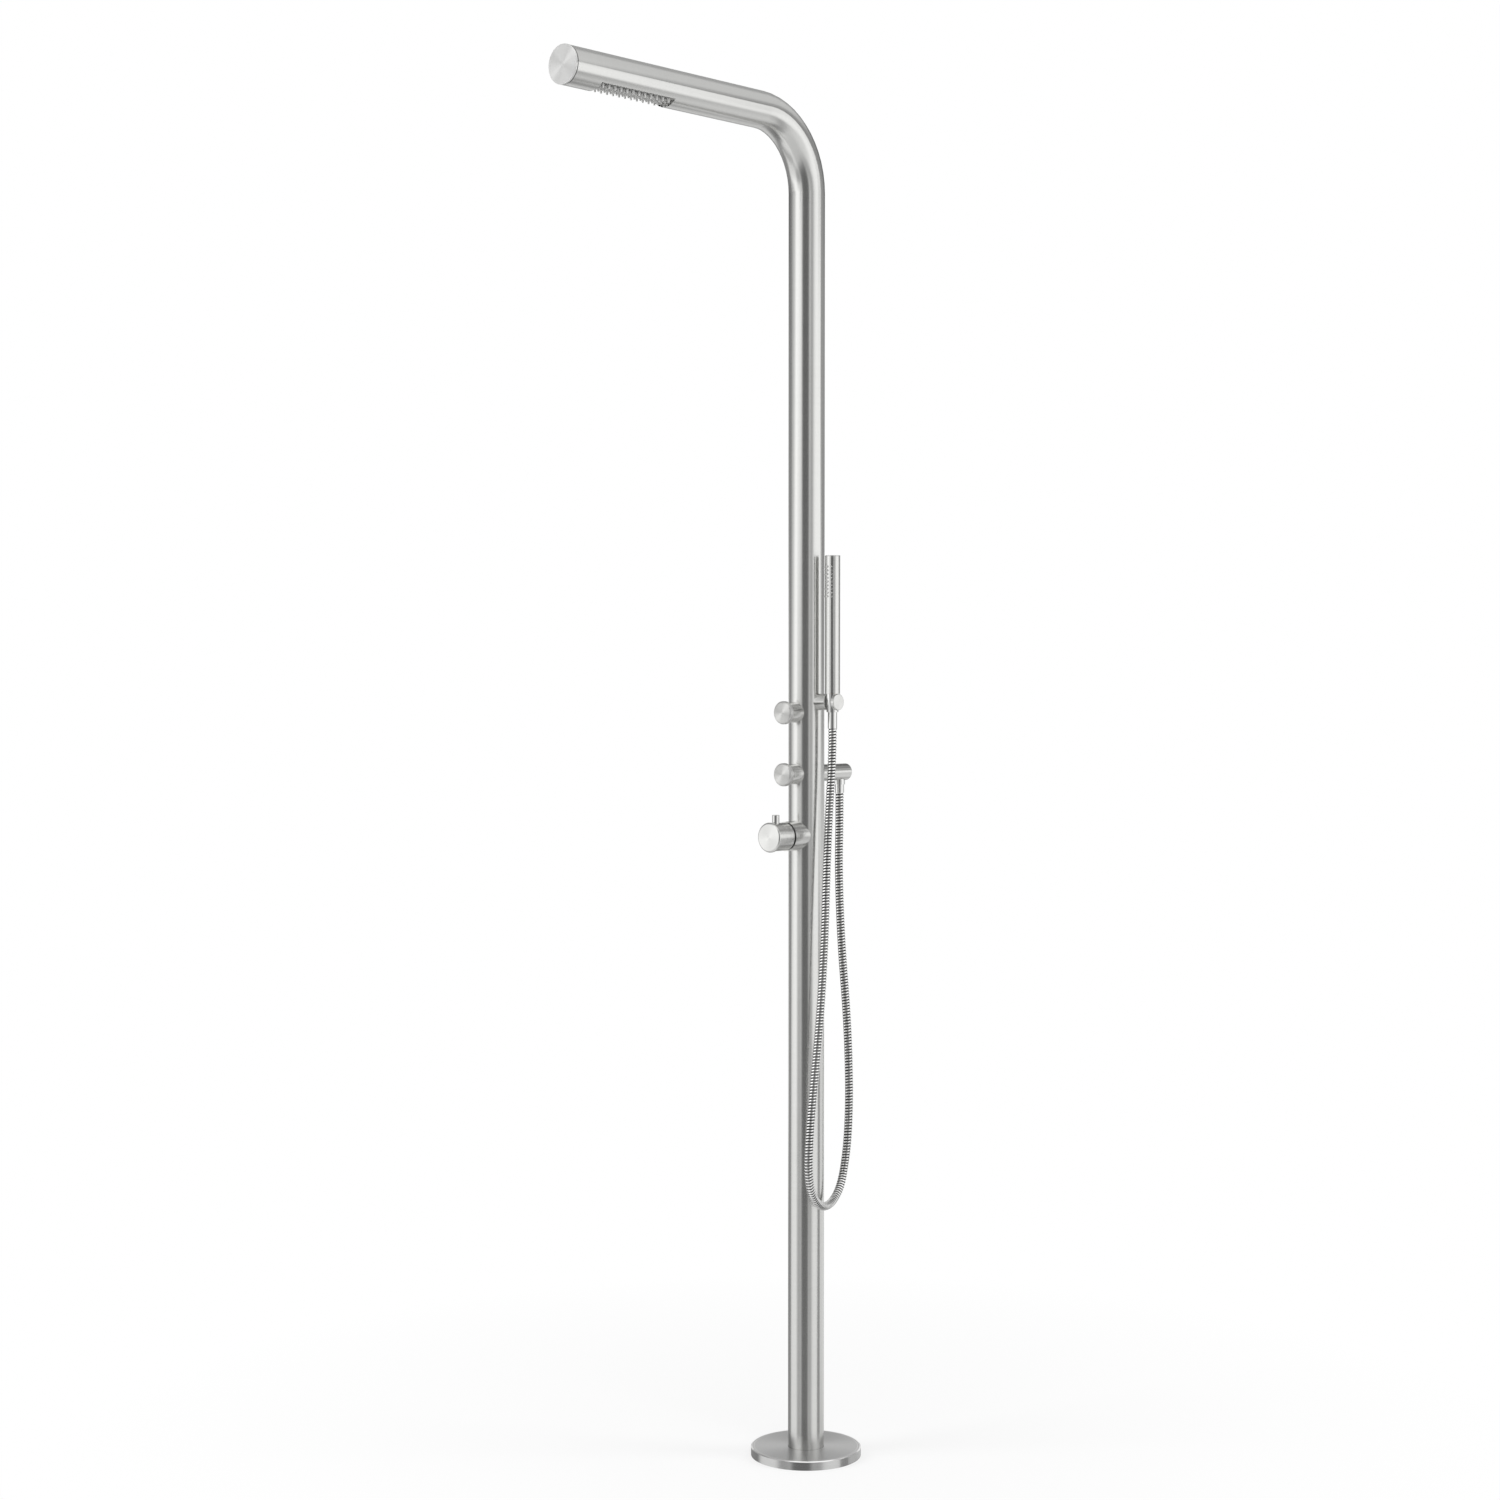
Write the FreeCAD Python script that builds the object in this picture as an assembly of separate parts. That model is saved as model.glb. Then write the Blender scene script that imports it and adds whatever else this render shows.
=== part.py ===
import FreeCAD, Part
import math
import os

# Free-standing outdoor shower post: a bent round tube on a floor flange, with a spray insert in
# the underside of its arm, two stop valves, a lever mixer and a hand shower on a hose.
# Millimetres. The origin is on the post's axis at the floor, +Z is up and the front is -Y.

V = FreeCAD.Vector
UP = V(0, 0, 1)
DOWN = V(0, 0, -1)
FRONT = V(0, -1, 0)
BACK = V(0, 1, 0)
SIDE = V(1, 0, 0)
CENTRE = V(0, 0, 0)

# ---- driving dimensions ----------------------------------------------------------------------

# fits
SEAT_GAP = 0.3            # between pieces that rest on or in each other
THREAD_GAP = 0.1          # radial, screwed or pressed pieces
SHAFT_GAP = 0.08          # radial, turning shafts
JOINT_GAP = 0.4           # between a turning piece and the fixed piece behind it
CUT_PAST = 1.0            # how far a cutter runs past the face it opens
SCREW_SINK = 1.0          # grub screws end this far below the surface
NEAR = 0.01               # for finding edges by their place

# post tube
TUBE_DIAMETER = 60.0
TUBE_WALL = 2.0
TOTAL_HEIGHT = 2250.0
ARM_REACH = 560.0         # from the post's axis to the outside of the end cap
BEND_RADIUS = 120.0

# foot
FLANGE_DIAMETER = 172.0
FLANGE_THICKNESS = 8.0
FLANGE_SPIGOT_HEIGHT = 12.0
FLANGE_SPIGOT_WALL = 3.0
ANCHOR_CIRCLE = 140.0
ANCHOR_COUNT = 4
ANCHOR_TURN = 45.0        # of the first anchor, from +X
ANCHOR_HOLE = 9.0
ANCHOR_SINK_DIAMETER = 16.0
ANCHOR_SINK_DEPTH = 3.5
COVER_DIAMETER = 184.0
COVER_HEIGHT = 15.0
COVER_WALL = 2.5
COVER_TOP = 3.0
COVER_EDGE = 1.5
COVER_HUB_HEIGHT = 3.2
COVER_HUB_WALL = 4.5
COVER_RING_SECTION = 2.0

# water inlets in the foot
INLET_SPACING = 26.0
INLET_THREAD = 18.63      # core diameter of a half-inch pipe thread
INLET_THREAD_LENGTH = 14.0
INLET_BLOCK_LIFT = 2.0    # the block's underside above the floor
INLET_LIP_HEIGHT = 13.0   # the block's wide upper part
VALVE_INSERT_DIAMETER = 14.0
VALVE_INSERT_LENGTH = 8.0
INSERT_BORE = 6.0
WASHER_THICKNESS = 2.0
WASHER_BORE = 9.0

# pipes inside the post
PIPE_DIAMETER = 12.0
PIPE_WALL = 1.0
PIPE_SOCKET = 8.0
RISER_SPACING = 22.0
NUT_ACROSS_FLATS = 17.0
NUT_HEIGHT = 9.0
SPACER_THICKNESS = 8.0
RISER_SPACERS = 2         # evenly spaced between the foot and the mixer
FEED_SPACERS = 2          # evenly spaced between the upper valve and the bend

# mixer
MIXER_HEIGHT = 1040.5
MIXER_BODY_HEIGHT = 64.0
BODY_SIDE = 42.0          # width over the milled sides of the valve bodies
BODY_REAR = 18.0          # milled rear face, from the post's axis
BODY_GAP = 0.5            # to the inside of the tube
CARTRIDGE_DIAMETER = 25.0
CARTRIDGE_FLOOR = 9.0     # all of these places are distances in front of the post's axis
CARTRIDGE_SHOULDER = 36.0
CARTRIDGE_NOSE = 44.0
CARTRIDGE_NOSE_DIAMETER = 15.6
CARTRIDGE_PORT = 6.0
CARTRIDGE_PORT_DEPTH = 8.0
PORT_PLACE = 8.5          # the cartridge's side ports, from its axis
BUSH_DIAMETER = 31.0
BUSH_SEAT = 14.0
BUSH_FRONT = 53.0
RETAINER_DIAMETER = 27.8
RETAINER_THICKNESS = 5.5
SLEEVE_DIAMETER = 49.0
SLEEVE_WALL = 4.5
SLEEVE_WEB = 3.5
SLEEVE_FRONT = 53.5
SLIP_RING_DIAMETER = 44.0
SLIP_RING_BORE = 33.0
SLIP_RING_THICKNESS = 2.1
HANDLE_DIAMETER = 46.0
HANDLE_WALL = 3.0
HANDLE_FRONT = 95.0
HANDLE_LIP_DIAMETER = 49.0
HANDLE_LIP = 4.5
HANDLE_ROUNDING = 3.0
HANDLE_FACE_THICKNESS = 6.0
HUB_DIAMETER = 16.0
HUB_REAR = 60.0
STEM_DIAMETER = 8.0
STEM_FRONT = 68.0
STEM_REAR = 22.0
LEVER_PLACE = 77.0
LEVER_DIAMETER = 12.0
LEVER_HEIGHT = 13.5       # above the handle's surface
LEVER_SHANK = 5.0
LEVER_EDGE = 0.8
HANDLE_SCREW = 5.0

# stop valves
VALVE_PITCH = 102.0       # between the mixer and the valves above it
STOP_BODY_HEIGHT = 44.0
SUPPLY_BORE = 9.0
PORT_BORE = 7.0
BRIDGE_BORE = 3.5
WATER_WAY_WALL = 0.9      # metal left between crossing water ways
STOP_SEAT = 7.0
STOP_DIAMETER = 21.0
STOP_NOSE = 53.0
STOP_STEM_REAR = 23.0
STOP_WATER_DEPTH = 8.0    # of the water way in the headwork's rear
STOP_HEX = 22.0
STOP_HEX_THICKNESS = 5.0
STOP_STEM_DIAMETER = 7.0
COLLAR_DIAMETER = 33.5
COLLAR_WALL = 3.4
COLLAR_FRONT = 54.0
COLLAR_WEB = 4.0
KNOB_DIAMETER = 38.0
KNOB_THICKNESS = 7.8
KNOB_ROUNDING = 3.4
KNOB_FACE = 2.2           # solid face in front of the stem's end
KNOB_SCREW = 3.0

# outlet for the hose, on the back
OUTLET_DIAMETER = 28.0
OUTLET_END = 103.0
OUTLET_AXIS = 86.0
OUTLET_BORE = 10.0
OUTLET_ROUNDING = 2.0
OUTLET_SOCKET_END = 50.0
PORT_DIAMETER = 16.6      # port for the hose connector, on the elbow's underside
PORT_DEPTH = 11.0
COLLAR_SPOT = 1.0         # spot face on the elbow's underside, for the hose connector's collar
COLLAR_SPOT_ROOM = 1.0    # of that spot face, round the collar
CONNECTOR_COLLAR = 18.6
CONNECTOR_COLLAR_HEIGHT = 7.5
SLEEVE_LENGTH = 14.0      # crimped sleeve at the outlet end of the hose
HOSE_SLEEVE_DIAMETER = 15.4

# hand shower and its holder, on the +X side
HOLDER_RISE = 17.5        # the holder's axis above the upper stop valve's
HOLDER_DIAMETER = 27.0
HOLDER_END = 70.0
HOLDER_SLOT = 15.2
HOLDER_ROUNDING = 1.0
HOLDER_SCREW = 8.0
HOLDER_SCREW_HEAD = 13.0
HOLDER_SCREW_REACH = 42.0
HOLDER_SCREW_HEAD_HEIGHT = 4.5
HANDSET_PLACE = 56.5      # the handset's axis, from the post's axis
HANDSET_DIAMETER = 25.0
HANDSET_WALL = 1.3
HANDSET_LENGTH = 227.2    # from its seat on the conical nut to the cap's top
HANDSET_CAP = 2.4
HANDSET_CAP_SPIGOT = 8.0
HANDSET_CAP_EDGE = 0.8
CONE_TOP_DIAMETER = 22.0
CONE_BOTTOM_DIAMETER = 19.6
CONE_LENGTH = 30.0
SHANK_DIAMETER = 16.4
SHANK_LENGTH = 14.0
SHANK_HEAD = 12.0
SHANK_BORE = 9.0
UPPER_SLEEVE_LENGTH = 27.0
INNER_TUBE_DIAMETER = 18.6
INNER_TUBE_WALL = 1.4
INNER_TUBE_WINDOW = 8.0

# handset nozzles
HANDSET_ROWS = 9
HANDSET_ROW_PITCH = 6.1
HANDSET_LAST_ROW = 18.6    # the highest row, below the handset's top
HANDSET_COLUMN_TURN = 33.0
HANDSET_COLUMNS = (-1, 0, 1)
HANDSET_NOZZLE_ROOT = 3.0
HANDSET_NOZZLE_TIP = 2.0
HANDSET_NOZZLE_STAND = 1.9
NOZZLE_JET = 0.9
LINER_WALL = 1.4

# spray insert in the arm
NOTCH_DROP = 20.0         # the cut plane below the arm's axis
NOTCH_SETBACK = 62.0      # from the end cap's outside to the cut
NOTCH_LENGTH = 160.0
INSERT_OVERLAP = 8.0      # how far the insert runs past the cut at each end
INSERT_GAP = 0.4          # to the inside of the tube
PLATE_THICKNESS = 2.5
PLATE_LIP = 1.5           # half-moon ends that close the cut
MAT_THICKNESS = 1.4
CHAMBER_TOP = 12.0        # above the arm's axis
CHAMBER_CAVITY_ROOM = 0.3  # beside the outer nozzles' roots
CHAMBER_CAVITY_TOP = 5.5   # above the arm's axis
CHAMBER_ROOF = 3.0
CHAMBER_INSET = 10.0      # from the insert's ends to its cavity
SPRAY_ROW_PITCH = 13.0
SPRAY_COLUMN_PITCH = 7.6
SPRAY_END_MARGIN = 8.0    # least distance from a nozzle's axis to the cut's ends
SPRAY_SIDE_MARGIN = 3.6   # and to the plate's long edges
SPRAY_NOZZLE_ROOT = 5.0
SPRAY_NOZZLE_TIP = 3.0
SPRAY_NOZZLE_REACH = 6.5  # below the plate's underside
CAP_THICKNESS = 3.0
CAP_SEAM = 0.3
CAP_EDGE = 0.8
CAP_SPIGOT_LENGTH = 16.0
CAP_SPIGOT_WALL = 3.5
CAP_RING_SECTION = 1.8
CAP_RING_PLACE = 5.0      # from the spigot's inner end

# hose
HOSE_DIAMETER = 14.0
HOSE_BORE = 8.0
HOSE_RIBS = 196
HOSE_RIB_DEPTH = 0.7
HOSE_RIB = (              # one rib: share of the pitch, share of the depth raised
    (0.0, 0.0),
    (0.12, 1.0),
    (0.78, 1.0),
    (0.90, 0.0),
)
ARC_SHARE = 0.45          # share of the shorter run that each arc of the hose takes up
HOSE_ROUTE = [            # from the outlet down, round and up to the hand shower
    (-1.0, 85.0, 976.0),
    (4.0, 86.0, 855.0),
    (17.0, 87.0, 725.0),
    (26.0, 82.0, 612.0),
    (28.0, 76.5, 536.0),
    (25.5, 71.0, 482.0),
    (32.0, 50.5, 446.0),
    (42.0, 16.0, 426.0),
    (53.0, -22.0, 427.0),
    (62.0, -54.5, 448.0),
    (68.0, -74.0, 483.5),
    (70.0, -73.5, 551.0),
    (69.0, -60.0, 648.0),
    (67.5, -43.0, 750.0),
    (63.0, -27.0, 870.0),
    (58.0, -13.0, 990.0),
    (56.0, -4.0, 1090.0),
]
HOSE_LEAD = 50.0          # straight run at each end, before the first and after the last point

# ---- sizes that follow -----------------------------------------------------------------------

TUBE_RADIUS = TUBE_DIAMETER / 2
TUBE_INSIDE = TUBE_RADIUS - TUBE_WALL
ARM_HEIGHT = TOTAL_HEIGHT - TUBE_RADIUS
ARM_END = ARM_REACH - CAP_THICKNESS - CAP_SEAM
BEND_START = ARM_HEIGHT - BEND_RADIUS
UPPER_VALVE = MIXER_HEIGHT + 2 * VALVE_PITCH
LOWER_VALVE = MIXER_HEIGHT + VALVE_PITCH
BODY_RADIUS = TUBE_INSIDE - BODY_GAP
KNOB_REAR = COLLAR_FRONT + JOINT_GAP
KNOB_FRONT = KNOB_REAR + KNOB_THICKNESS
HANDLE_REAR = SLEEVE_FRONT + SLIP_RING_THICKNESS + JOINT_GAP
HOLDER_HEIGHT = UPPER_VALVE + HOLDER_RISE
HOLDER_TOP = HOLDER_HEIGHT + HOLDER_DIAMETER / 2
HANDSET_BOTTOM = HOLDER_TOP + SEAT_GAP
HANDSET_TOP = HANDSET_BOTTOM + HANDSET_LENGTH
HANDSET_TUBE_TOP = HANDSET_TOP - HANDSET_CAP
HANDSET_FIRST_ROW = HANDSET_TOP - HANDSET_LAST_ROW - (HANDSET_ROWS - 1) * HANDSET_ROW_PITCH
HANDSET_INSIDE = HANDSET_DIAMETER / 2 - HANDSET_WALL
CONE_TOP = HANDSET_BOTTOM - SEAT_GAP
CONE_BOTTOM = CONE_TOP - CONE_LENGTH
NOTCH_OUTER = ARM_REACH - NOTCH_SETBACK
NOTCH_INNER = NOTCH_OUTER - NOTCH_LENGTH
INSERT_RADIUS = TUBE_INSIDE - INSERT_GAP
PLATE_HALF_WIDTH = math.sqrt(INSERT_RADIUS ** 2 - (NOTCH_DROP - THREAD_GAP) ** 2)
SPRAY_ROWS = 1 + int((NOTCH_LENGTH - 2 * SPRAY_END_MARGIN) / SPRAY_ROW_PITCH)
SPRAY_COLUMNS = 1 + 2 * int((PLATE_HALF_WIDTH - SPRAY_SIDE_MARGIN) / SPRAY_COLUMN_PITCH)
INSERT_OUTER = NOTCH_OUTER + INSERT_OVERLAP
INSERT_INNER = NOTCH_INNER - INSERT_OVERLAP
CAP_SPIGOT_END = ARM_END - CAP_SPIGOT_LENGTH
FOOT_TOP = FLANGE_THICKNESS
INLET_LIP_START = FOOT_TOP + FLANGE_SPIGOT_HEIGHT + SEAT_GAP
INLET_BLOCK_TOP = INLET_LIP_START + INLET_LIP_HEIGHT
PORT_FACE = LOWER_VALVE - OUTLET_DIAMETER / 2 + COLLAR_SPOT
CONNECTOR_BOTTOM = PORT_FACE - SEAT_GAP - CONNECTOR_COLLAR_HEIGHT
HOSE_START = CONNECTOR_BOTTOM - SLEEVE_LENGTH
HOSE_FINISH = CONE_BOTTOM - SEAT_GAP - UPPER_SLEEVE_LENGTH
LEFT_AND_RIGHT = (-1, 1)

# ---- helpers ---------------------------------------------------------------------------------


def save(node, shape):
    shape.exportStep("parts/" + node + ".step")
    print(node, "solids", len(shape.Solids), "volume", round(shape.Volume, 1))


def rod(diameter, length, start, direction):
    return Part.makeCylinder(diameter / 2, length, start, direction)


def ring(diameter, bore, length, start, direction):
    return rod(diameter, length, start, direction).cut(rod(bore, length, start, direction))


def taper(start_diameter, end_diameter, length, start, direction):
    return Part.makeCone(start_diameter / 2, end_diameter / 2, length, start, direction)


def block(low, high):
    size = high - low
    return Part.makeBox(size.x, size.y, size.z, low)


def ahead(distance, height=0.0, across=0.0):
    """A point at a distance in front of the post's axis."""
    return V(across, -distance, height)


def hexagon_nut(across_flats, bore, height, start):
    radius = across_flats / math.sqrt(3)
    corners = [
        start + V(radius * math.cos(math.radians(60 * i)), radius * math.sin(math.radians(60 * i)), 0)
        for i in range(7)
    ]
    prism = Part.Face(Part.makePolygon(corners)).extrude(V(0, 0, height))
    return prism.cut(rod(bore, height, start, UP))


def rounded(shape, radius, place, across):
    """Round the circular edges that lie in the plane through place, square to the direction across."""
    edges = [
        e for e in shape.Edges
        if isinstance(e.Curve, Part.Circle) and abs((e.CenterOfMass - place).dot(across)) < NEAR
        and abs(abs(e.Curve.Axis.dot(across)) - 1) < NEAR
    ]
    return shape.makeFillet(radius, edges)


def post_surface(gap):
    """The post as a plain bar, for shaping the ends that sit against it."""
    return rod(TUBE_DIAMETER + 2 * gap, TOTAL_HEIGHT, CENTRE, UP)


def bent_bar(diameter, foot, end):
    """A bar along the post's own line, from a height on the post to a reach along the arm."""
    corner = BEND_RADIUS * (1 - math.sqrt(0.5))
    bend = Part.Arc(V(0, 0, BEND_START), V(0, -corner, ARM_HEIGHT - corner), V(0, -BEND_RADIUS, ARM_HEIGHT))
    line = Part.Wire([
        Part.LineSegment(V(0, 0, foot), V(0, 0, BEND_START)).toShape(),
        bend.toShape(),
        Part.LineSegment(V(0, -BEND_RADIUS, ARM_HEIGHT), V(0, -end, ARM_HEIGHT)).toShape(),
    ])
    section = Part.Wire(Part.Circle(V(0, 0, foot), UP, diameter / 2).toShape())
    return line.makePipeShell([section], True, False)


def arm_bar(diameter, low, high, outer, inner):
    """A length of round bar inside the arm, cut flat below and above the arm's axis."""
    bar = rod(diameter, outer - inner, V(0, -inner, ARM_HEIGHT), FRONT)
    half = diameter
    return bar.common(block(V(-half, -outer, ARM_HEIGHT + low), V(half, -inner, ARM_HEIGHT + high)))


# ---- foot ------------------------------------------------------------------------------------

SPIGOT_DIAMETER = 2 * (TUBE_INSIDE - SEAT_GAP)
SPIGOT_BORE = SPIGOT_DIAMETER - 2 * FLANGE_SPIGOT_WALL


def floor_flange():
    plate = rod(FLANGE_DIAMETER, FLANGE_THICKNESS, CENTRE, UP)
    spigot = rod(SPIGOT_DIAMETER, FLANGE_SPIGOT_HEIGHT, V(0, 0, FOOT_TOP), UP)
    flange = plate.fuse(spigot)
    flange = flange.cut(rod(SPIGOT_BORE, FLANGE_THICKNESS + FLANGE_SPIGOT_HEIGHT, CENTRE, UP))
    for i in range(ANCHOR_COUNT):
        turn = math.radians(ANCHOR_TURN + 360 * i / ANCHOR_COUNT)
        place = V(ANCHOR_CIRCLE / 2 * math.cos(turn), ANCHOR_CIRCLE / 2 * math.sin(turn), 0)
        sink_start = place + V(0, 0, FLANGE_THICKNESS - ANCHOR_SINK_DEPTH)
        flange = flange.cut(rod(ANCHOR_HOLE, FLANGE_THICKNESS, place, UP))
        sink = taper(ANCHOR_HOLE, ANCHOR_SINK_DIAMETER, ANCHOR_SINK_DEPTH, sink_start, UP)
        flange = flange.cut(sink)
    return flange.removeSplitter()


def base_cover():
    hole = TUBE_DIAMETER + 2 * SEAT_GAP
    hub_diameter = hole + 2 * COVER_HUB_WALL
    under_top = COVER_HEIGHT - COVER_TOP
    cover = rod(COVER_DIAMETER, COVER_HEIGHT, CENTRE, UP)
    edge = [
        e for e in cover.Edges
        if isinstance(e.Curve, Part.Circle) and abs(e.CenterOfMass.z - COVER_HEIGHT) < NEAR
    ]
    cover = cover.makeChamfer(COVER_EDGE, edge)
    cover = cover.cut(rod(COVER_DIAMETER - 2 * COVER_WALL, under_top, CENTRE, UP))
    hub = rod(hub_diameter, COVER_HUB_HEIGHT, V(0, 0, under_top - COVER_HUB_HEIGHT), UP)
    cover = cover.fuse(hub).removeSplitter()
    cover = cover.cut(rod(hole, COVER_HEIGHT, CENTRE, UP))
    groove_diameter = hole + 2 * COVER_RING_SECTION + 2 * SEAT_GAP
    groove_start = V(0, 0, under_top - COVER_HUB_HEIGHT)
    groove = rod(groove_diameter, COVER_RING_SECTION + SEAT_GAP, groove_start, UP)
    return cover.cut(groove)


def cover_ring():
    start = V(0, 0, COVER_HEIGHT - COVER_TOP - COVER_HUB_HEIGHT)
    bore = TUBE_DIAMETER + 2 * SEAT_GAP
    return ring(bore + 2 * COVER_RING_SECTION, bore, COVER_RING_SECTION, start, UP)


def inlet_block():
    """Carries both inlet threads, and sits in the flange's spigot on its own lip."""
    lower = SPIGOT_BORE - 2 * SEAT_GAP
    shape = rod(lower, INLET_BLOCK_TOP - INLET_BLOCK_LIFT, V(0, 0, INLET_BLOCK_LIFT), UP)
    shape = shape.fuse(rod(SPIGOT_DIAMETER, INLET_LIP_HEIGHT, V(0, 0, INLET_LIP_START), UP))
    insert_start = INLET_BLOCK_LIFT + INLET_THREAD_LENGTH
    for side in LEFT_AND_RIGHT:
        inlet = V(side * INLET_SPACING / 2, 0, INLET_BLOCK_LIFT)
        riser = V(side * RISER_SPACING / 2, 0, INLET_BLOCK_TOP - PIPE_SOCKET)
        insert_bore = VALVE_INSERT_DIAMETER + 2 * THREAD_GAP
        insert_depth = VALVE_INSERT_LENGTH + SEAT_GAP
        shape = shape.cut(rod(INLET_THREAD, INLET_THREAD_LENGTH, inlet, UP))
        shape = shape.cut(rod(insert_bore, insert_depth, V(inlet.x, 0, insert_start), UP))
        shape = shape.cut(rod(SUPPLY_BORE, INLET_BLOCK_TOP - insert_start, V(riser.x, 0, insert_start), UP))
        shape = shape.cut(rod(PIPE_DIAMETER + 2 * THREAD_GAP, PIPE_SOCKET, riser, UP))
    return shape.removeSplitter()


def check_valves():
    pieces = []
    for side in LEFT_AND_RIGHT:
        start = V(side * INLET_SPACING / 2, 0, INLET_BLOCK_LIFT + INLET_THREAD_LENGTH)
        pieces.append(ring(VALVE_INSERT_DIAMETER, INSERT_BORE, VALVE_INSERT_LENGTH, start, UP))
    return Part.makeCompound(pieces)


# ---- pipes inside the post -------------------------------------------------------------------


def pipe(start, length, direction=UP):
    return ring(PIPE_DIAMETER, PIPE_DIAMETER - 2 * PIPE_WALL, length, start, direction)


MIXER_BOTTOM = MIXER_HEIGHT - MIXER_BODY_HEIGHT / 2
MIXER_TOP = MIXER_HEIGHT + MIXER_BODY_HEIGHT / 2
LINK_INSET = PIPE_SOCKET - SEAT_GAP      # how far a pipe's end reaches into its socket


def stop_bottom(height):
    return height - STOP_BODY_HEIGHT / 2


def stop_top(height):
    return height + STOP_BODY_HEIGHT / 2


def riser(side):
    start = INLET_BLOCK_TOP - LINK_INSET
    length = MIXER_BOTTOM + LINK_INSET - start
    return pipe(V(side * RISER_SPACING / 2, 0, start), length)


def link_pipe(low_face, high_face):
    start = low_face - LINK_INSET
    return pipe(V(0, 0, start), high_face + LINK_INSET - start)


def pipe_nuts(places):
    """Compression nuts: each place is a point on a socket's face and the side it stands on."""
    nuts = []
    for place, side in places:
        low = place.z + SEAT_GAP if side > 0 else place.z - SEAT_GAP - NUT_HEIGHT
        bore = PIPE_DIAMETER + 2 * THREAD_GAP
        nuts.append(hexagon_nut(NUT_ACROSS_FLATS, bore, NUT_HEIGHT, V(place.x, place.y, low)))
    return Part.makeCompound(nuts)


def riser_nuts():
    places = []
    for side in LEFT_AND_RIGHT:
        places.append((V(side * RISER_SPACING / 2, 0, INLET_BLOCK_TOP), 1))
        places.append((V(side * RISER_SPACING / 2, 0, MIXER_BOTTOM), -1))
    return pipe_nuts(places)


def link_nuts():
    faces = [
        (MIXER_TOP, 1), (stop_bottom(LOWER_VALVE), -1), (stop_top(LOWER_VALVE), 1),
        (stop_bottom(UPPER_VALVE), -1), (stop_top(UPPER_VALVE), 1),
    ]
    return pipe_nuts([(V(0, 0, face), side) for face, side in faces])


def evenly(count, low, high):
    """Heights of the spacer discs that divide a stretch of the post into equal parts."""
    step = (high - low) / (count + 1)
    return [low + step * (i + 1) - SPACER_THICKNESS / 2 for i in range(count)]


def pipe_spacers():
    """Plastic discs that hold the pipes in the middle of the tube."""
    disc_diameter = 2 * (TUBE_INSIDE - SEAT_GAP)
    hole = PIPE_DIAMETER + 2 * SEAT_GAP
    discs = []
    for height in evenly(RISER_SPACERS, INLET_BLOCK_TOP, MIXER_BOTTOM):
        disc = rod(disc_diameter, SPACER_THICKNESS, V(0, 0, height), UP)
        for side in LEFT_AND_RIGHT:
            place = V(side * RISER_SPACING / 2, 0, height)
            disc = disc.cut(rod(hole, SPACER_THICKNESS, place, UP))
        discs.append(disc)
    for height in evenly(FEED_SPACERS, stop_top(UPPER_VALVE), BEND_START):
        discs.append(ring(disc_diameter, hole, SPACER_THICKNESS, V(0, 0, height), UP))
    return Part.makeCompound(discs)


def head_feed_pipe():
    foot = stop_top(UPPER_VALVE) - LINK_INSET
    end = INSERT_INNER + LINK_INSET
    return bent_bar(PIPE_DIAMETER, foot, end).cut(bent_bar(PIPE_DIAMETER - 2 * PIPE_WALL, foot, end))


# ---- mixer -----------------------------------------------------------------------------------


def body_blank(height, body_height):
    """A valve body's blank: a bar that fits the tube, milled flat on its sides and rear."""
    low = height - body_height / 2
    bar = rod(2 * BODY_RADIUS, body_height, V(0, 0, low), UP)
    half = BODY_SIDE / 2
    return bar.common(block(V(-half, -BODY_RADIUS, low), V(half, BODY_REAR, low + body_height)))


def mixer_body():
    body = body_blank(MIXER_HEIGHT, MIXER_BODY_HEIGHT)
    seat = ahead(CARTRIDGE_FLOOR, MIXER_HEIGHT)
    body = body.cut(rod(CARTRIDGE_DIAMETER + 2 * THREAD_GAP, BODY_RADIUS, seat, FRONT))
    bush_seat = ahead(BUSH_SEAT - SEAT_GAP, MIXER_HEIGHT)
    body = body.cut(rod(BUSH_DIAMETER + 2 * THREAD_GAP, BODY_RADIUS, bush_seat, FRONT))
    for side in LEFT_AND_RIGHT:
        low = V(side * RISER_SPACING / 2, 0, MIXER_BOTTOM)
        body = body.cut(rod(PIPE_DIAMETER + 2 * THREAD_GAP, PIPE_SOCKET, low, UP))
        body = body.cut(rod(PORT_BORE, MIXER_HEIGHT - MIXER_BOTTOM, low, UP))
        port = V(side * PORT_PLACE, 0, MIXER_HEIGHT)
        body = body.cut(rod(PORT_BORE, CARTRIDGE_FLOOR, port, FRONT))
    body = body.cut(rod(PORT_BORE, CARTRIDGE_FLOOR, V(0, 0, MIXER_HEIGHT), FRONT))
    body = body.cut(rod(PORT_BORE, MIXER_TOP - MIXER_HEIGHT, V(0, 0, MIXER_HEIGHT), UP))
    socket = V(0, 0, MIXER_TOP - PIPE_SOCKET)
    return body.cut(rod(PIPE_DIAMETER + 2 * THREAD_GAP, PIPE_SOCKET, socket, UP))


def mixer_bush():
    """Screws into the body through the tube's wall and holds the cartridge."""
    start = ahead(BUSH_SEAT, MIXER_HEIGHT)
    bush = rod(BUSH_DIAMETER, BUSH_FRONT - BUSH_SEAT, start, FRONT)
    bush = bush.cut(rod(CARTRIDGE_DIAMETER + 2 * THREAD_GAP, BUSH_FRONT - BUSH_SEAT, start, FRONT))
    shoulder = ahead(CARTRIDGE_SHOULDER, MIXER_HEIGHT)
    retainer_bore = RETAINER_DIAMETER + 2 * THREAD_GAP
    return bush.cut(rod(retainer_bore, BUSH_FRONT - CARTRIDGE_SHOULDER, shoulder, FRONT))


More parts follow.
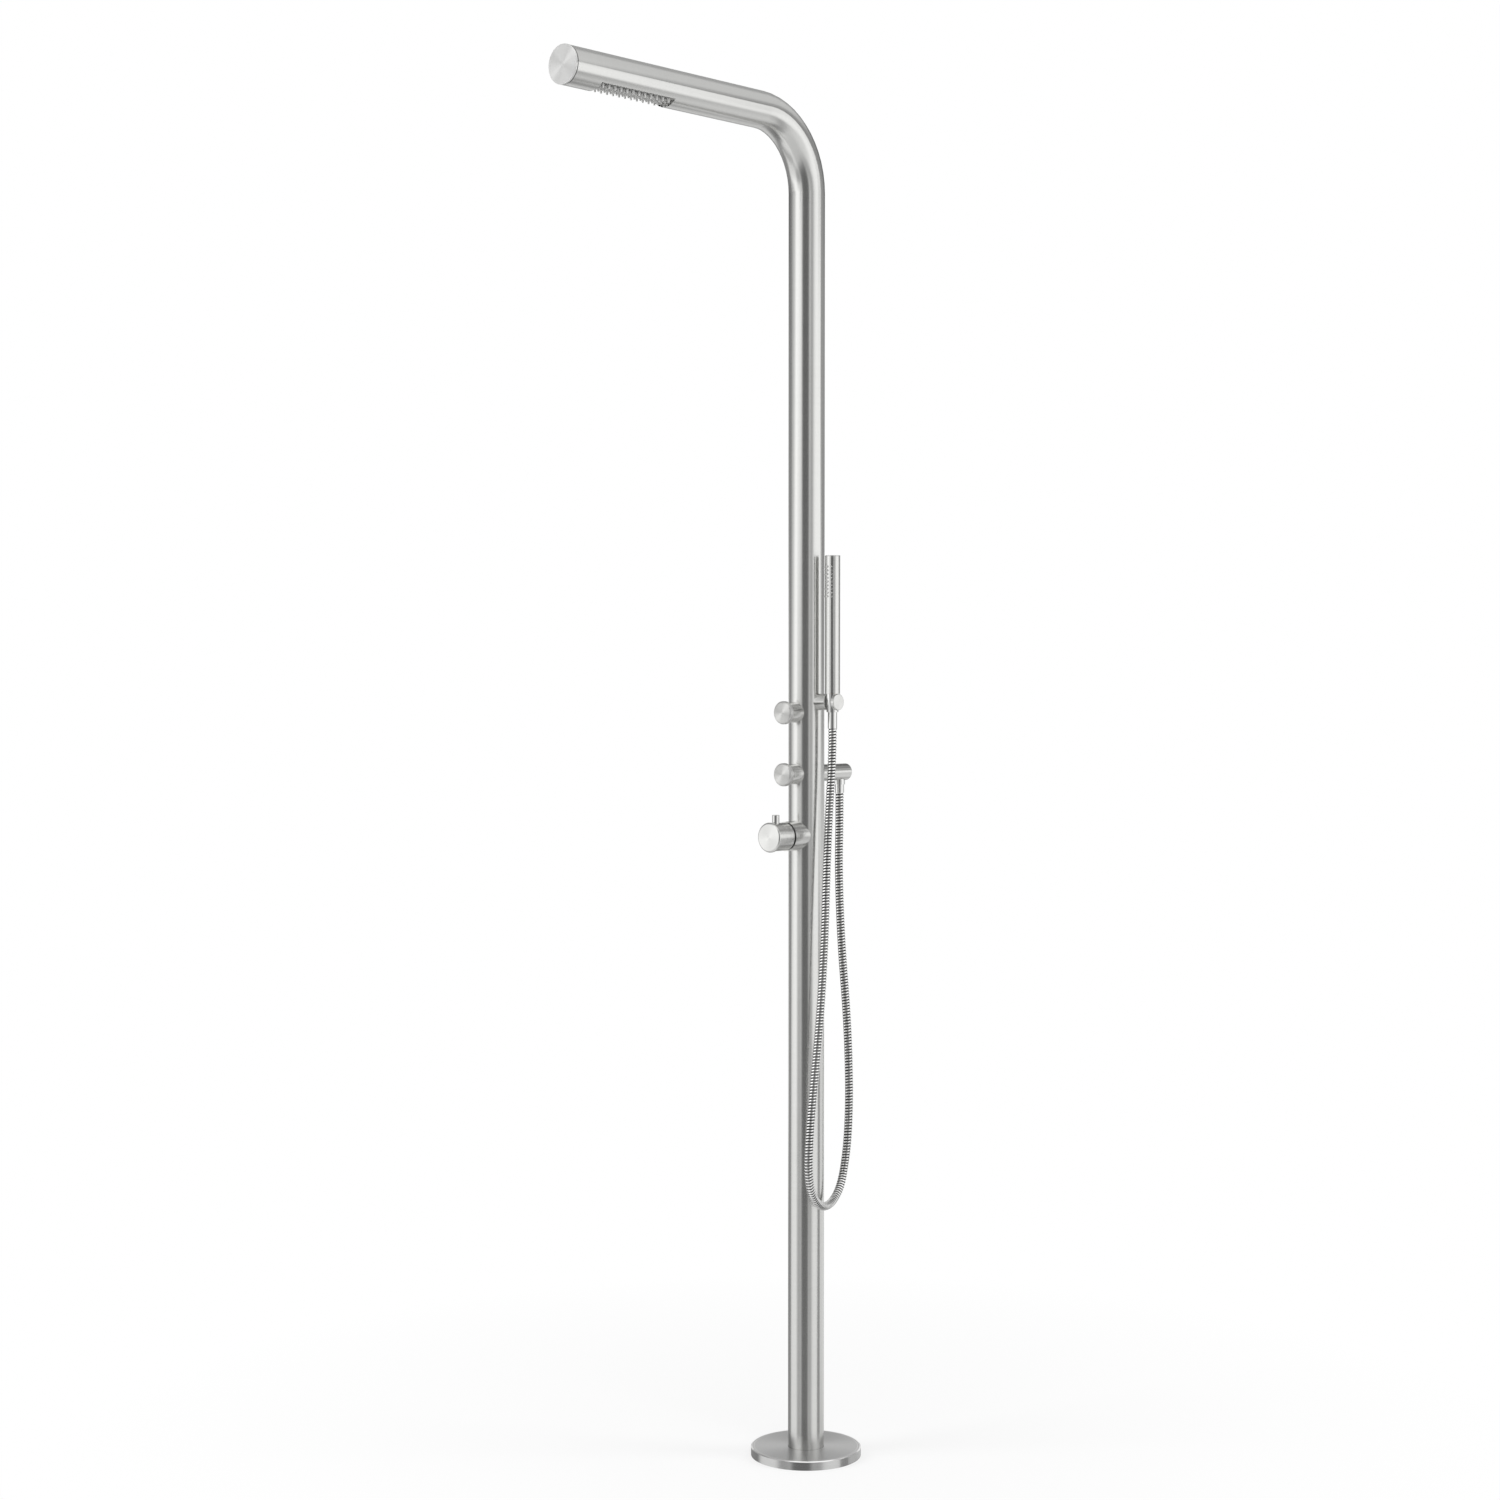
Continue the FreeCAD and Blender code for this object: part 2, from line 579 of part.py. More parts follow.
def mixer_cartridge():
    start = ahead(CARTRIDGE_FLOOR + THREAD_GAP, MIXER_HEIGHT)
    cartridge = rod(CARTRIDGE_DIAMETER, CARTRIDGE_SHOULDER - CARTRIDGE_FLOOR - THREAD_GAP, start, FRONT)
    shoulder = ahead(CARTRIDGE_SHOULDER, MIXER_HEIGHT)
    nose = rod(CARTRIDGE_NOSE_DIAMETER, CARTRIDGE_NOSE - CARTRIDGE_SHOULDER, shoulder, FRONT)
    cartridge = cartridge.fuse(nose)
    stem_seat = ahead(STEM_REAR - SEAT_GAP, MIXER_HEIGHT)
    cartridge = cartridge.cut(rod(STEM_DIAMETER + 2 * SHAFT_GAP, CARTRIDGE_NOSE, stem_seat, FRONT))
    for side in (-1, 0, 1):
        port = ahead(CARTRIDGE_FLOOR, MIXER_HEIGHT, side * PORT_PLACE)
        cartridge = cartridge.cut(rod(CARTRIDGE_PORT, CARTRIDGE_PORT_DEPTH, port, FRONT))
    return cartridge.removeSplitter()


def cartridge_nut():
    start = ahead(CARTRIDGE_SHOULDER + SEAT_GAP, MIXER_HEIGHT)
    return ring(RETAINER_DIAMETER, CARTRIDGE_NOSE_DIAMETER + 2 * SEAT_GAP, RETAINER_THICKNESS, start, FRONT)


def mixer_stem():
    start = ahead(STEM_REAR, MIXER_HEIGHT)
    return rod(STEM_DIAMETER, STEM_FRONT - STEM_REAR, start, FRONT)


def mixer_sleeve():
    sleeve = rod(SLEEVE_DIAMETER, SLEEVE_FRONT, ahead(0, MIXER_HEIGHT), FRONT)
    bore_length = SLEEVE_FRONT - SLEEVE_WEB
    sleeve = sleeve.cut(rod(SLEEVE_DIAMETER - 2 * SLEEVE_WALL, bore_length, ahead(0, MIXER_HEIGHT), FRONT))
    sleeve = sleeve.cut(rod(BUSH_DIAMETER + 2 * SEAT_GAP, SLEEVE_FRONT, ahead(0, MIXER_HEIGHT), FRONT))
    return sleeve.cut(post_surface(THREAD_GAP))


def mixer_slip_ring():
    start = ahead(SLEEVE_FRONT, MIXER_HEIGHT)
    return ring(SLIP_RING_DIAMETER, SLIP_RING_BORE, SLIP_RING_THICKNESS, start, FRONT)


def mixer_handle():
    lip_rear = HANDLE_FRONT - HANDLE_LIP
    handle = rod(HANDLE_DIAMETER, lip_rear - HANDLE_REAR, ahead(HANDLE_REAR, MIXER_HEIGHT), FRONT)
    lip = rod(HANDLE_LIP_DIAMETER, HANDLE_LIP, ahead(lip_rear, MIXER_HEIGHT), FRONT)
    lip = rounded(lip, HANDLE_ROUNDING, ahead(HANDLE_FRONT, MIXER_HEIGHT), FRONT)
    handle = handle.fuse(lip)
    hollow_length = HANDLE_FRONT - HANDLE_FACE_THICKNESS - HANDLE_REAR
    hollow_diameter = HANDLE_DIAMETER - 2 * HANDLE_WALL
    hollow = ring(hollow_diameter, HUB_DIAMETER, hollow_length, ahead(HANDLE_REAR, MIXER_HEIGHT), FRONT)
    handle = handle.cut(hollow)
    rear_room = rod(hollow_diameter, HUB_REAR - HANDLE_REAR, ahead(HANDLE_REAR, MIXER_HEIGHT), FRONT)
    handle = handle.cut(rear_room)
    stem_depth = STEM_FRONT + SEAT_GAP - HUB_REAR
    stem_start = ahead(HUB_REAR, MIXER_HEIGHT)
    handle = handle.cut(rod(STEM_DIAMETER + 2 * THREAD_GAP, stem_depth, stem_start, FRONT))
    pocket = ahead(LEVER_PLACE, MIXER_HEIGHT + lever_seat())
    handle = handle.cut(rod(LEVER_DIAMETER + 2 * THREAD_GAP, HANDLE_DIAMETER, pocket, UP))
    shank_start = ahead(LEVER_PLACE, MIXER_HEIGHT + hollow_diameter / 2 - HANDLE_WALL)
    handle = handle.cut(rod(LEVER_SHANK + 2 * THREAD_GAP, HANDLE_DIAMETER / 2, shank_start, UP))
    screw_start = ahead(handle_screw_place(), MIXER_HEIGHT)
    screw_hole = rod(HANDLE_SCREW + 2 * THREAD_GAP, HANDLE_DIAMETER, screw_start, DOWN)
    return handle.cut(screw_hole).removeSplitter()


def lever_seat():
    """Height above the handle's axis of the flat that the lever pin stands on."""
    pocket = LEVER_DIAMETER / 2 + THREAD_GAP
    return math.sqrt((HANDLE_DIAMETER / 2) ** 2 - pocket ** 2) - THREAD_GAP


def handle_screw_place():
    return (HUB_REAR + STEM_FRONT) / 2


def lever_pin():
    bottom = MIXER_HEIGHT + lever_seat()
    top = MIXER_HEIGHT + HANDLE_DIAMETER / 2 + LEVER_HEIGHT
    pin = rod(LEVER_DIAMETER, top - bottom, ahead(LEVER_PLACE, bottom), UP)
    pin = rounded(pin, LEVER_EDGE, ahead(LEVER_PLACE, top), UP)
    shank_bottom = MIXER_HEIGHT + HANDLE_DIAMETER / 2 - HANDLE_WALL
    shank = rod(LEVER_SHANK, bottom - shank_bottom, ahead(LEVER_PLACE, shank_bottom), UP)
    return pin.fuse(shank).removeSplitter()


def handle_screw():
    top = -STEM_DIAMETER / 2 - SEAT_GAP
    length = HANDLE_DIAMETER / 2 - SCREW_SINK + top
    return rod(HANDLE_SCREW, length, ahead(handle_screw_place(), MIXER_HEIGHT + top), DOWN)


# ---- stop valves -----------------------------------------------------------------------------


def stop_valve_body(height, to_the_back):
    """The lower body sends water on to the upper one and to the back, the upper one up to the arm."""
    body = body_blank(height, STOP_BODY_HEIGHT)
    body = body.cut(rod(STOP_DIAMETER + 2 * THREAD_GAP, BODY_RADIUS, ahead(STOP_SEAT, height), FRONT))
    body = body.cut(rod(SUPPLY_BORE, STOP_SEAT, V(0, 0, height), FRONT))
    low = V(0, 0, stop_bottom(height))
    socket = PIPE_DIAMETER + 2 * THREAD_GAP
    body = body.cut(rod(SUPPLY_BORE, STOP_BODY_HEIGHT / 2, low, UP))
    body = body.cut(rod(socket, PIPE_SOCKET, low, UP))
    body = body.cut(rod(socket, PIPE_SOCKET, V(0, 0, stop_top(height) - PIPE_SOCKET), UP))
    if to_the_back:
        body = body.cut(rod(SUPPLY_BORE, STOP_BODY_HEIGHT / 2, V(0, 0, height), UP))
        side = (SUPPLY_BORE + PORT_BORE) / 2 + WATER_WAY_WALL
        rear = BODY_REAR - PIPE_SOCKET
        bridge = (SUPPLY_BORE + BRIDGE_BORE) / 2 + WATER_WAY_WALL
        port_start = V(side, -STOP_SEAT - WATER_WAY_WALL, height)
        body = body.cut(rod(PORT_BORE, bridge - port_start.y, port_start, BACK))
        body = body.cut(rod(BRIDGE_BORE, BRIDGE_BORE + side, V(-BRIDGE_BORE, bridge, height), SIDE))
        body = body.cut(rod(PORT_BORE, PIPE_SOCKET, V(0, bridge, height), BACK))
        body = body.cut(rod(socket, PIPE_SOCKET, V(0, rear, height), BACK))
        return body
    bridge = stop_top(height) - PIPE_SOCKET
    place = STOP_SEAT + PORT_BORE / 2 + WATER_WAY_WALL
    body = body.cut(rod(PORT_BORE, bridge - height, ahead(place, height), UP))
    return body.cut(rod(PORT_BORE, place, V(0, 0, bridge), FRONT))


def stop_cartridge(height):
    """The headwork: a hexagon flange outside the tube draws the body against the wall."""
    start = STOP_SEAT + THREAD_GAP
    shape = rod(STOP_DIAMETER, STOP_NOSE - start, ahead(start, height), FRONT)
    hexagon = hexagon_nut(STOP_HEX, STOP_STEM_DIAMETER, STOP_HEX_THICKNESS, CENTRE)
    hexagon.rotate(CENTRE, SIDE, 90)
    hexagon.translate(ahead(TUBE_RADIUS + SEAT_GAP, height))
    shape = shape.fuse(hexagon)
    stem_seat = STOP_STEM_REAR - SEAT_GAP
    stem_hole = STOP_STEM_DIAMETER + 2 * SHAFT_GAP
    stem_bore = rod(stem_hole, STOP_NOSE - stem_seat, ahead(stem_seat, height), FRONT)
    shape = shape.cut(stem_bore)
    water_way = rod(SUPPLY_BORE, STOP_WATER_DEPTH, ahead(start, height), FRONT)
    middle = start + STOP_WATER_DEPTH / 2
    window = rod(PORT_BORE, STOP_DIAMETER, ahead(middle, height, -STOP_DIAMETER / 2), SIDE)
    window_up = rod(PORT_BORE, STOP_DIAMETER / 2, ahead(middle, height), UP)
    return shape.cut(water_way).cut(window).cut(window_up).removeSplitter()


def stop_stem(height):
    length = KNOB_FRONT - KNOB_FACE - SEAT_GAP - STOP_STEM_REAR
    return rod(STOP_STEM_DIAMETER, length, ahead(STOP_STEM_REAR, height), FRONT)


def knob_collar(height):
    collar = rod(COLLAR_DIAMETER, COLLAR_FRONT, ahead(0, height), FRONT)
    inside = COLLAR_DIAMETER - 2 * COLLAR_WALL
    collar = collar.cut(rod(inside, COLLAR_FRONT - COLLAR_WEB, ahead(0, height), FRONT))
    collar = collar.cut(rod(STOP_DIAMETER + 2 * SEAT_GAP, COLLAR_FRONT, ahead(0, height), FRONT))
    return collar.cut(post_surface(THREAD_GAP))


def knob(height):
    shape = rod(KNOB_DIAMETER, KNOB_THICKNESS, ahead(KNOB_REAR, height), FRONT)
    shape = rounded(shape, KNOB_ROUNDING, ahead(KNOB_FRONT, height), FRONT)
    stem_hole = STOP_STEM_DIAMETER + 2 * THREAD_GAP
    shape = shape.cut(rod(stem_hole, KNOB_THICKNESS - KNOB_FACE, ahead(KNOB_REAR, height), FRONT))
    screw_hole = KNOB_SCREW + 2 * THREAD_GAP
    return shape.cut(rod(screw_hole, KNOB_DIAMETER, ahead(knob_screw_place(), height), DOWN))


def knob_screw_place():
    return KNOB_REAR + (KNOB_THICKNESS - KNOB_ROUNDING) / 2


def knob_screw(height):
    top = STOP_STEM_DIAMETER / 2 + SEAT_GAP
    length = KNOB_DIAMETER / 2 - SCREW_SINK - top
    return rod(KNOB_SCREW, length, ahead(knob_screw_place(), height - top), DOWN)


# ---- outlet ----------------------------------------------------------------------------------


def outlet_nipple():
    start = BODY_REAR - LINK_INSET
    return pipe(V(0, start, LOWER_VALVE), OUTLET_SOCKET_END - SEAT_GAP - start, BACK)


def outlet_elbow():
    elbow = rod(OUTLET_DIAMETER, OUTLET_END, V(0, 0, LOWER_VALVE), BACK)
    elbow = rounded(elbow, OUTLET_ROUNDING, V(0, OUTLET_END, LOWER_VALVE), BACK)
    spot_diameter = CONNECTOR_COLLAR + 2 * COLLAR_SPOT_ROOM
    spot_start = V(0, OUTLET_AXIS, PORT_FACE - OUTLET_DIAMETER)
    elbow = elbow.cut(rod(spot_diameter, OUTLET_DIAMETER, spot_start, UP))
    elbow = elbow.cut(rod(PIPE_DIAMETER + 2 * THREAD_GAP, OUTLET_SOCKET_END, V(0, 0, LOWER_VALVE), BACK))
    elbow = elbow.cut(rod(OUTLET_BORE, OUTLET_AXIS, V(0, 0, LOWER_VALVE), BACK))
    elbow = elbow.cut(rod(OUTLET_BORE, OUTLET_DIAMETER / 2, V(0, OUTLET_AXIS, LOWER_VALVE), DOWN))
    elbow = elbow.cut(rod(PORT_DIAMETER, PORT_DEPTH, V(0, OUTLET_AXIS, PORT_FACE), UP))
    return elbow.cut(post_surface(THREAD_GAP))


def hose_connector():
    """Screws up into the elbow's port; its collar shows below."""
    face = PORT_FACE - SEAT_GAP
    bottom = CONNECTOR_BOTTOM
    top = PORT_FACE + PORT_DEPTH - WASHER_THICKNESS - 2 * THREAD_GAP
    shape = rod(CONNECTOR_COLLAR, CONNECTOR_COLLAR_HEIGHT, V(0, OUTLET_AXIS, bottom), UP)
    shape = shape.fuse(rod(PORT_DIAMETER - 2 * THREAD_GAP, top - face, V(0, OUTLET_AXIS, face), UP))
    return shape.cut(rod(HOSE_BORE, top - bottom, V(0, OUTLET_AXIS, bottom), UP)).removeSplitter()


def outlet_washer():
    start = V(0, OUTLET_AXIS, PORT_FACE + PORT_DEPTH - WASHER_THICKNESS - THREAD_GAP)
    return ring(PORT_DIAMETER - 2 * THREAD_GAP, WASHER_BORE, WASHER_THICKNESS, start, UP)


def lower_hose_sleeve():
    start = V(0, OUTLET_AXIS, HOSE_START)
    return ring(HOSE_SLEEVE_DIAMETER, HOSE_BORE, SLEEVE_LENGTH, start, UP)


# ---- hand shower -----------------------------------------------------------------------------

HANDSET_AXIS = V(HANDSET_PLACE, 0, 0)


def on_handset(height):
    return HANDSET_AXIS + V(0, 0, height)


def holder():
    body = rod(HOLDER_DIAMETER, HOLDER_END, V(0, 0, HOLDER_HEIGHT), SIDE)
    body = rounded(body, HOLDER_ROUNDING, V(HOLDER_END, 0, HOLDER_HEIGHT), SIDE)
    body = body.cut(post_surface(THREAD_GAP))
    seat = taper(
        CONE_BOTTOM_DIAMETER + 2 * SEAT_GAP, CONE_TOP_DIAMETER + 2 * SEAT_GAP,
        CONE_LENGTH, on_handset(CONE_BOTTOM), UP)
    body = body.cut(seat)
    half = HOLDER_SLOT / 2
    slot = block(
        V(HANDSET_PLACE - half, -HOLDER_DIAMETER, CONE_BOTTOM),
        V(HANDSET_PLACE + half, 0, HOLDER_TOP + CUT_PAST))
    body = body.cut(slot)
    depth = HOLDER_SCREW_REACH + CUT_PAST
    return body.cut(rod(HOLDER_SCREW + 2 * THREAD_GAP, depth, V(0, 0, HOLDER_HEIGHT), SIDE))


def holder_screw():
    head_start = TUBE_INSIDE - SEAT_GAP - HOLDER_SCREW_HEAD_HEIGHT
    head = rod(HOLDER_SCREW_HEAD, HOLDER_SCREW_HEAD_HEIGHT, V(head_start, 0, HOLDER_HEIGHT), SIDE)
    inside_tube = rod(2 * (TUBE_INSIDE - SEAT_GAP), HOLDER_SCREW_HEAD * 2,
                      V(0, 0, HOLDER_HEIGHT - HOLDER_SCREW_HEAD), UP)
    shank = rod(HOLDER_SCREW, HOLDER_SCREW_REACH - head_start, V(head_start, 0, HOLDER_HEIGHT), SIDE)
    return head.common(inside_tube).fuse(shank).removeSplitter()


def nozzle_places():
    for row in range(HANDSET_ROWS):
        for column in HANDSET_COLUMNS:
            turn = math.radians(column * HANDSET_COLUMN_TURN)
            direction = V(math.sin(turn), -math.cos(turn), 0)
            yield on_handset(HANDSET_FIRST_ROW + row * HANDSET_ROW_PITCH), direction


def handset_tube():
    bottom = on_handset(HANDSET_BOTTOM)
    tube = ring(HANDSET_DIAMETER, 2 * HANDSET_INSIDE, HANDSET_TUBE_TOP - HANDSET_BOTTOM, bottom, UP)
    holes = [
        rod(HANDSET_NOZZLE_ROOT + 2 * THREAD_GAP, HANDSET_DIAMETER, place, direction)
        for place, direction in nozzle_places()
    ]
    return tube.cut(Part.makeCompound(holes))


def handset_cap():
    face = rod(HANDSET_DIAMETER, HANDSET_CAP, on_handset(HANDSET_TUBE_TOP), UP)
    face = rounded(face, HANDSET_CAP_EDGE, on_handset(HANDSET_TOP), UP)
    spigot_start = on_handset(HANDSET_TUBE_TOP - HANDSET_CAP_SPIGOT)
    spigot = rod(2 * (HANDSET_INSIDE - THREAD_GAP), HANDSET_CAP_SPIGOT, spigot_start, UP)
    return face.fuse(spigot).removeSplitter()


def liner_bottom():
    return HANDSET_FIRST_ROW - HANDSET_ROW_PITCH


def liner_top():
    return HANDSET_FIRST_ROW + HANDSET_ROWS * HANDSET_ROW_PITCH


def handset_nozzles():
    """A silicone sleeve inside the tube, whose nozzles stand out through the tube's holes."""
    outside = 2 * (HANDSET_INSIDE - THREAD_GAP)
    length = liner_top() - liner_bottom()
    sleeve = rod(outside, length, on_handset(liner_bottom()), UP)
    root = HANDSET_INSIDE - LINER_WALL
    reach = HANDSET_DIAMETER / 2 + HANDSET_NOZZLE_STAND - root
    cones = [
        taper(HANDSET_NOZZLE_ROOT, HANDSET_NOZZLE_TIP, reach, place + direction * root, direction)
        for place, direction in nozzle_places()
    ]
    jets = [
        rod(NOZZLE_JET, HANDSET_DIAMETER, place, direction) for place, direction in nozzle_places()
    ]
    sleeve = sleeve.fuse(cones)
    sleeve = sleeve.cut(rod(outside - 2 * LINER_WALL, length, on_handset(liner_bottom()), UP))
    return sleeve.cut(Part.makeCompound(jets)).removeSplitter()


def shank_top():
    return HANDSET_BOTTOM + SHANK_HEAD


def handset_inner_tube():
    """Carries the water up to the nozzles; it stands on the shank and ends under the cap."""
    bottom = shank_top() + SEAT_GAP
    top = HANDSET_TUBE_TOP - HANDSET_CAP_SPIGOT - SEAT_GAP
    inside = INNER_TUBE_DIAMETER - 2 * INNER_TUBE_WALL
    tube = ring(INNER_TUBE_DIAMETER, inside, top - bottom, on_handset(bottom), UP)
    middle = (liner_bottom() + liner_top()) / 2
    for offset in (-1, 0, 1):
        place = on_handset(middle + offset * 2 * INNER_TUBE_WINDOW)
        tube = tube.cut(rod(INNER_TUBE_WINDOW, HANDSET_DIAMETER, place, FRONT))
    return tube


def handset_shank():
    head = rod(2 * (HANDSET_INSIDE - THREAD_GAP), SHANK_HEAD, on_handset(HANDSET_BOTTOM), UP)
    stem = rod(SHANK_DIAMETER, SHANK_LENGTH, on_handset(HANDSET_BOTTOM - SHANK_LENGTH), UP)
    bore = rod(SHANK_BORE, SHANK_HEAD + SHANK_LENGTH, on_handset(HANDSET_BOTTOM - SHANK_LENGTH), UP)
    return head.fuse(stem).cut(bore).removeSplitter()


def hose_cone_nut():
    """Screws on the shank and is the cone that sits in the holder."""
    cone = taper(CONE_BOTTOM_DIAMETER, CONE_TOP_DIAMETER, CONE_LENGTH, on_handset(CONE_BOTTOM), UP)
    pocket_floor = HANDSET_BOTTOM - SHANK_LENGTH - WASHER_THICKNESS - 2 * THREAD_GAP
    pocket = rod(SHANK_DIAMETER + 2 * THREAD_GAP, CONE_TOP - pocket_floor, on_handset(pocket_floor), UP)
    return cone.cut(pocket).cut(rod(HOSE_BORE, CONE_LENGTH, on_handset(CONE_BOTTOM), UP))


def handset_washer():
    start = on_handset(HANDSET_BOTTOM - SHANK_LENGTH - WASHER_THICKNESS - THREAD_GAP)
    return ring(SHANK_DIAMETER, WASHER_BORE, WASHER_THICKNESS, start, UP)


def upper_hose_sleeve():
    return ring(HOSE_SLEEVE_DIAMETER, HOSE_BORE, UPPER_SLEEVE_LENGTH, on_handset(HOSE_FINISH), UP)


# ---- arm -------------------------------------------------------------------------------------


def post_tube():
    tube = bent_bar(TUBE_DIAMETER, FOOT_TOP, ARM_END).cut(bent_bar(2 * TUBE_INSIDE, FOOT_TOP, ARM_END))
    half = TUBE_RADIUS
    notch = block(
        V(-half, -NOTCH_OUTER, ARM_HEIGHT - TUBE_DIAMETER),
        V(half, -NOTCH_INNER, ARM_HEIGHT - NOTCH_DROP))
    tube = tube.cut(notch)
    tube = tube.cut(rod(BUSH_DIAMETER + 2 * SEAT_GAP, TUBE_DIAMETER, ahead(0, MIXER_HEIGHT), FRONT))
    for height in (LOWER_VALVE, UPPER_VALVE):
        tube = tube.cut(rod(STOP_DIAMETER + 2 * SEAT_GAP, TUBE_DIAMETER, ahead(0, height), FRONT))
    tube = tube.cut(rod(PIPE_DIAMETER + 2 * SEAT_GAP, TUBE_DIAMETER, V(0, 0, LOWER_VALVE), BACK))
    return tube.cut(rod(HOLDER_SCREW + 2 * SEAT_GAP, TUBE_DIAMETER, V(0, 0, HOLDER_HEIGHT), SIDE))


def spray_places():
    middle = (NOTCH_OUTER + NOTCH_INNER) / 2
    for row in range(SPRAY_ROWS):
        for column in range(SPRAY_COLUMNS):
            across = (column - (SPRAY_COLUMNS - 1) / 2) * SPRAY_COLUMN_PITCH
            along = middle + (row - (SPRAY_ROWS - 1) / 2) * SPRAY_ROW_PITCH
            yield across, along


PLATE_LOW = -NOTCH_DROP + THREAD_GAP
PLATE_HIGH = PLATE_LOW + PLATE_THICKNESS
MAT_LOW = PLATE_HIGH + THREAD_GAP
MAT_HIGH = MAT_LOW + MAT_THICKNESS
CHAMBER_LOW = MAT_HIGH + THREAD_GAP


def spray_plate():
    """The flat plate in the cut; a half-moon lip at each end closes the tube beside it."""
    plate = arm_bar(2 * INSERT_RADIUS, PLATE_LOW, PLATE_HIGH, INSERT_OUTER, INSERT_INNER)
    lips = [
        arm_bar(2 * INSERT_RADIUS, -TUBE_RADIUS, PLATE_LOW, outer, outer - PLATE_LIP)
        for outer in (NOTCH_OUTER + SEAT_GAP + PLATE_LIP, NOTCH_INNER - SEAT_GAP)
    ]
    plate = plate.fuse(lips).removeSplitter()
    holes = [
        rod(SPRAY_NOZZLE_ROOT + 2 * THREAD_GAP, 2 * PLATE_THICKNESS,
            V(across, -along, ARM_HEIGHT + PLATE_LOW - CUT_PAST), UP)
        for across, along in spray_places()
    ]
    return plate.cut(Part.makeCompound(holes))


def spray_nozzles():
    """A silicone mat on the plate, whose nozzles hang through the plate's holes."""
    mat = arm_bar(2 * INSERT_RADIUS, MAT_LOW, MAT_HIGH, INSERT_OUTER, INSERT_INNER)
    root = ARM_HEIGHT + MAT_HIGH
    reach = MAT_HIGH - PLATE_LOW + SPRAY_NOZZLE_REACH
    cones = [
        taper(SPRAY_NOZZLE_ROOT, SPRAY_NOZZLE_TIP, reach, V(across, -along, root), DOWN)
        for across, along in spray_places()
    ]
    jets = [
        rod(NOZZLE_JET, 2 * reach, V(across, -along, root + CUT_PAST), DOWN)
        for across, along in spray_places()
    ]
    return mat.fuse(cones).cut(Part.makeCompound(jets)).removeSplitter()


def spray_chamber():
    """The water box above the mat, held down by the tube's narrowing round."""
    chamber = arm_bar(2 * INSERT_RADIUS, CHAMBER_LOW, CHAMBER_TOP, INSERT_OUTER, INSERT_INNER)
    half = ((SPRAY_COLUMNS - 1) * SPRAY_COLUMN_PITCH + SPRAY_NOZZLE_ROOT) / 2 + CHAMBER_CAVITY_ROOM
    cavity = block(
        V(-half, -INSERT_OUTER + CHAMBER_INSET, ARM_HEIGHT + CHAMBER_LOW),
        V(half, -INSERT_INNER - CHAMBER_INSET, ARM_HEIGHT + CHAMBER_CAVITY_TOP))
    trough = block(
        V(-half, -INSERT_OUTER, ARM_HEIGHT + CHAMBER_CAVITY_TOP + CHAMBER_ROOF),
        V(half, -INSERT_INNER, ARM_HEIGHT + CHAMBER_TOP))
    chamber = chamber.cut(cavity).cut(trough)
    inlet = V(0, -INSERT_INNER, ARM_HEIGHT)
    chamber = chamber.cut(rod(PIPE_DIAMETER + 2 * THREAD_GAP, PIPE_SOCKET, inlet, FRONT))
    chamber = chamber.cut(rod(SUPPLY_BORE, CHAMBER_INSET + SUPPLY_BORE, inlet, FRONT))
    return chamber


def arm_end_cap():
    face = ARM_REACH - CAP_THICKNESS
    cap = rod(TUBE_DIAMETER, CAP_THICKNESS, V(0, -face, ARM_HEIGHT), FRONT)
    cap = rounded(cap, CAP_EDGE, V(0, -ARM_REACH, ARM_HEIGHT), FRONT)
    spigot_diameter = 2 * (TUBE_INSIDE - SEAT_GAP)
    spigot_length = face - CAP_SPIGOT_END
    spigot_start = V(0, -CAP_SPIGOT_END, ARM_HEIGHT)
    cap = cap.fuse(rod(spigot_diameter, spigot_length, spigot_start, FRONT))
    cap = cap.cut(rod(spigot_diameter - 2 * CAP_SPIGOT_WALL, spigot_length, spigot_start, FRONT))
    groove_start = V(0, -CAP_SPIGOT_END - CAP_RING_PLACE, ARM_HEIGHT)
    groove_bore = spigot_diameter - 2 * CAP_RING_SECTION
    groove = ring(spigot_diameter, groove_bore, CAP_RING_SECTION + 2 * THREAD_GAP, groove_start, FRONT)
    return cap.cut(groove).removeSplitter()


def cap_seal_ring():
    spigot_diameter = 2 * (TUBE_INSIDE - SEAT_GAP)
    start = V(0, -CAP_SPIGOT_END - CAP_RING_PLACE - THREAD_GAP, ARM_HEIGHT)
    bore = spigot_diameter - 2 * CAP_RING_SECTION + 2 * THREAD_GAP
    return ring(2 * TUBE_INSIDE - 2 * THREAD_GAP, bore, CAP_RING_SECTION, start, FRONT)


# ---- hose ------------------------------------------------------------------------------------


def hose_path():
    """Straight runs joined by tangent arcs, each as large as its two runs allow."""
    start = V(0, OUTLET_AXIS, HOSE_START)
    finish = on_handset(HOSE_FINISH)
    lead = V(0, 0, HOSE_LEAD)
    points = [start, start - lead] + [V(*p) for p in HOSE_ROUTE] + [finish - lead, finish]
    edges = []
    radii = []
    last = points[0]
    for before, corner, after in zip(points, points[1:], points[2:]):
        towards = (corner - before).normalize()
        away = (after - corner).normalize()
        turn = towards.getAngle(away)
        setback = ARC_SHARE * min((corner - before).Length, (after - corner).Length)
        radius = setback / math.tan(turn / 2)
        start = corner - towards * setback
        end = corner + away * setback
        inward = (away - towards).normalize()
        middle = corner + inward * (radius / math.cos(turn / 2) - radius)
        edges.append(Part.LineSegment(last, start).toShape())
        edges.append(Part.Arc(start, middle, end).toShape())
        radii.append(round(radius, 1))
        last = end
    edges.append(Part.LineSegment(last, points[-1]).toShape())
    print("hose arc radii", radii)
    return Part.Wire(edges)


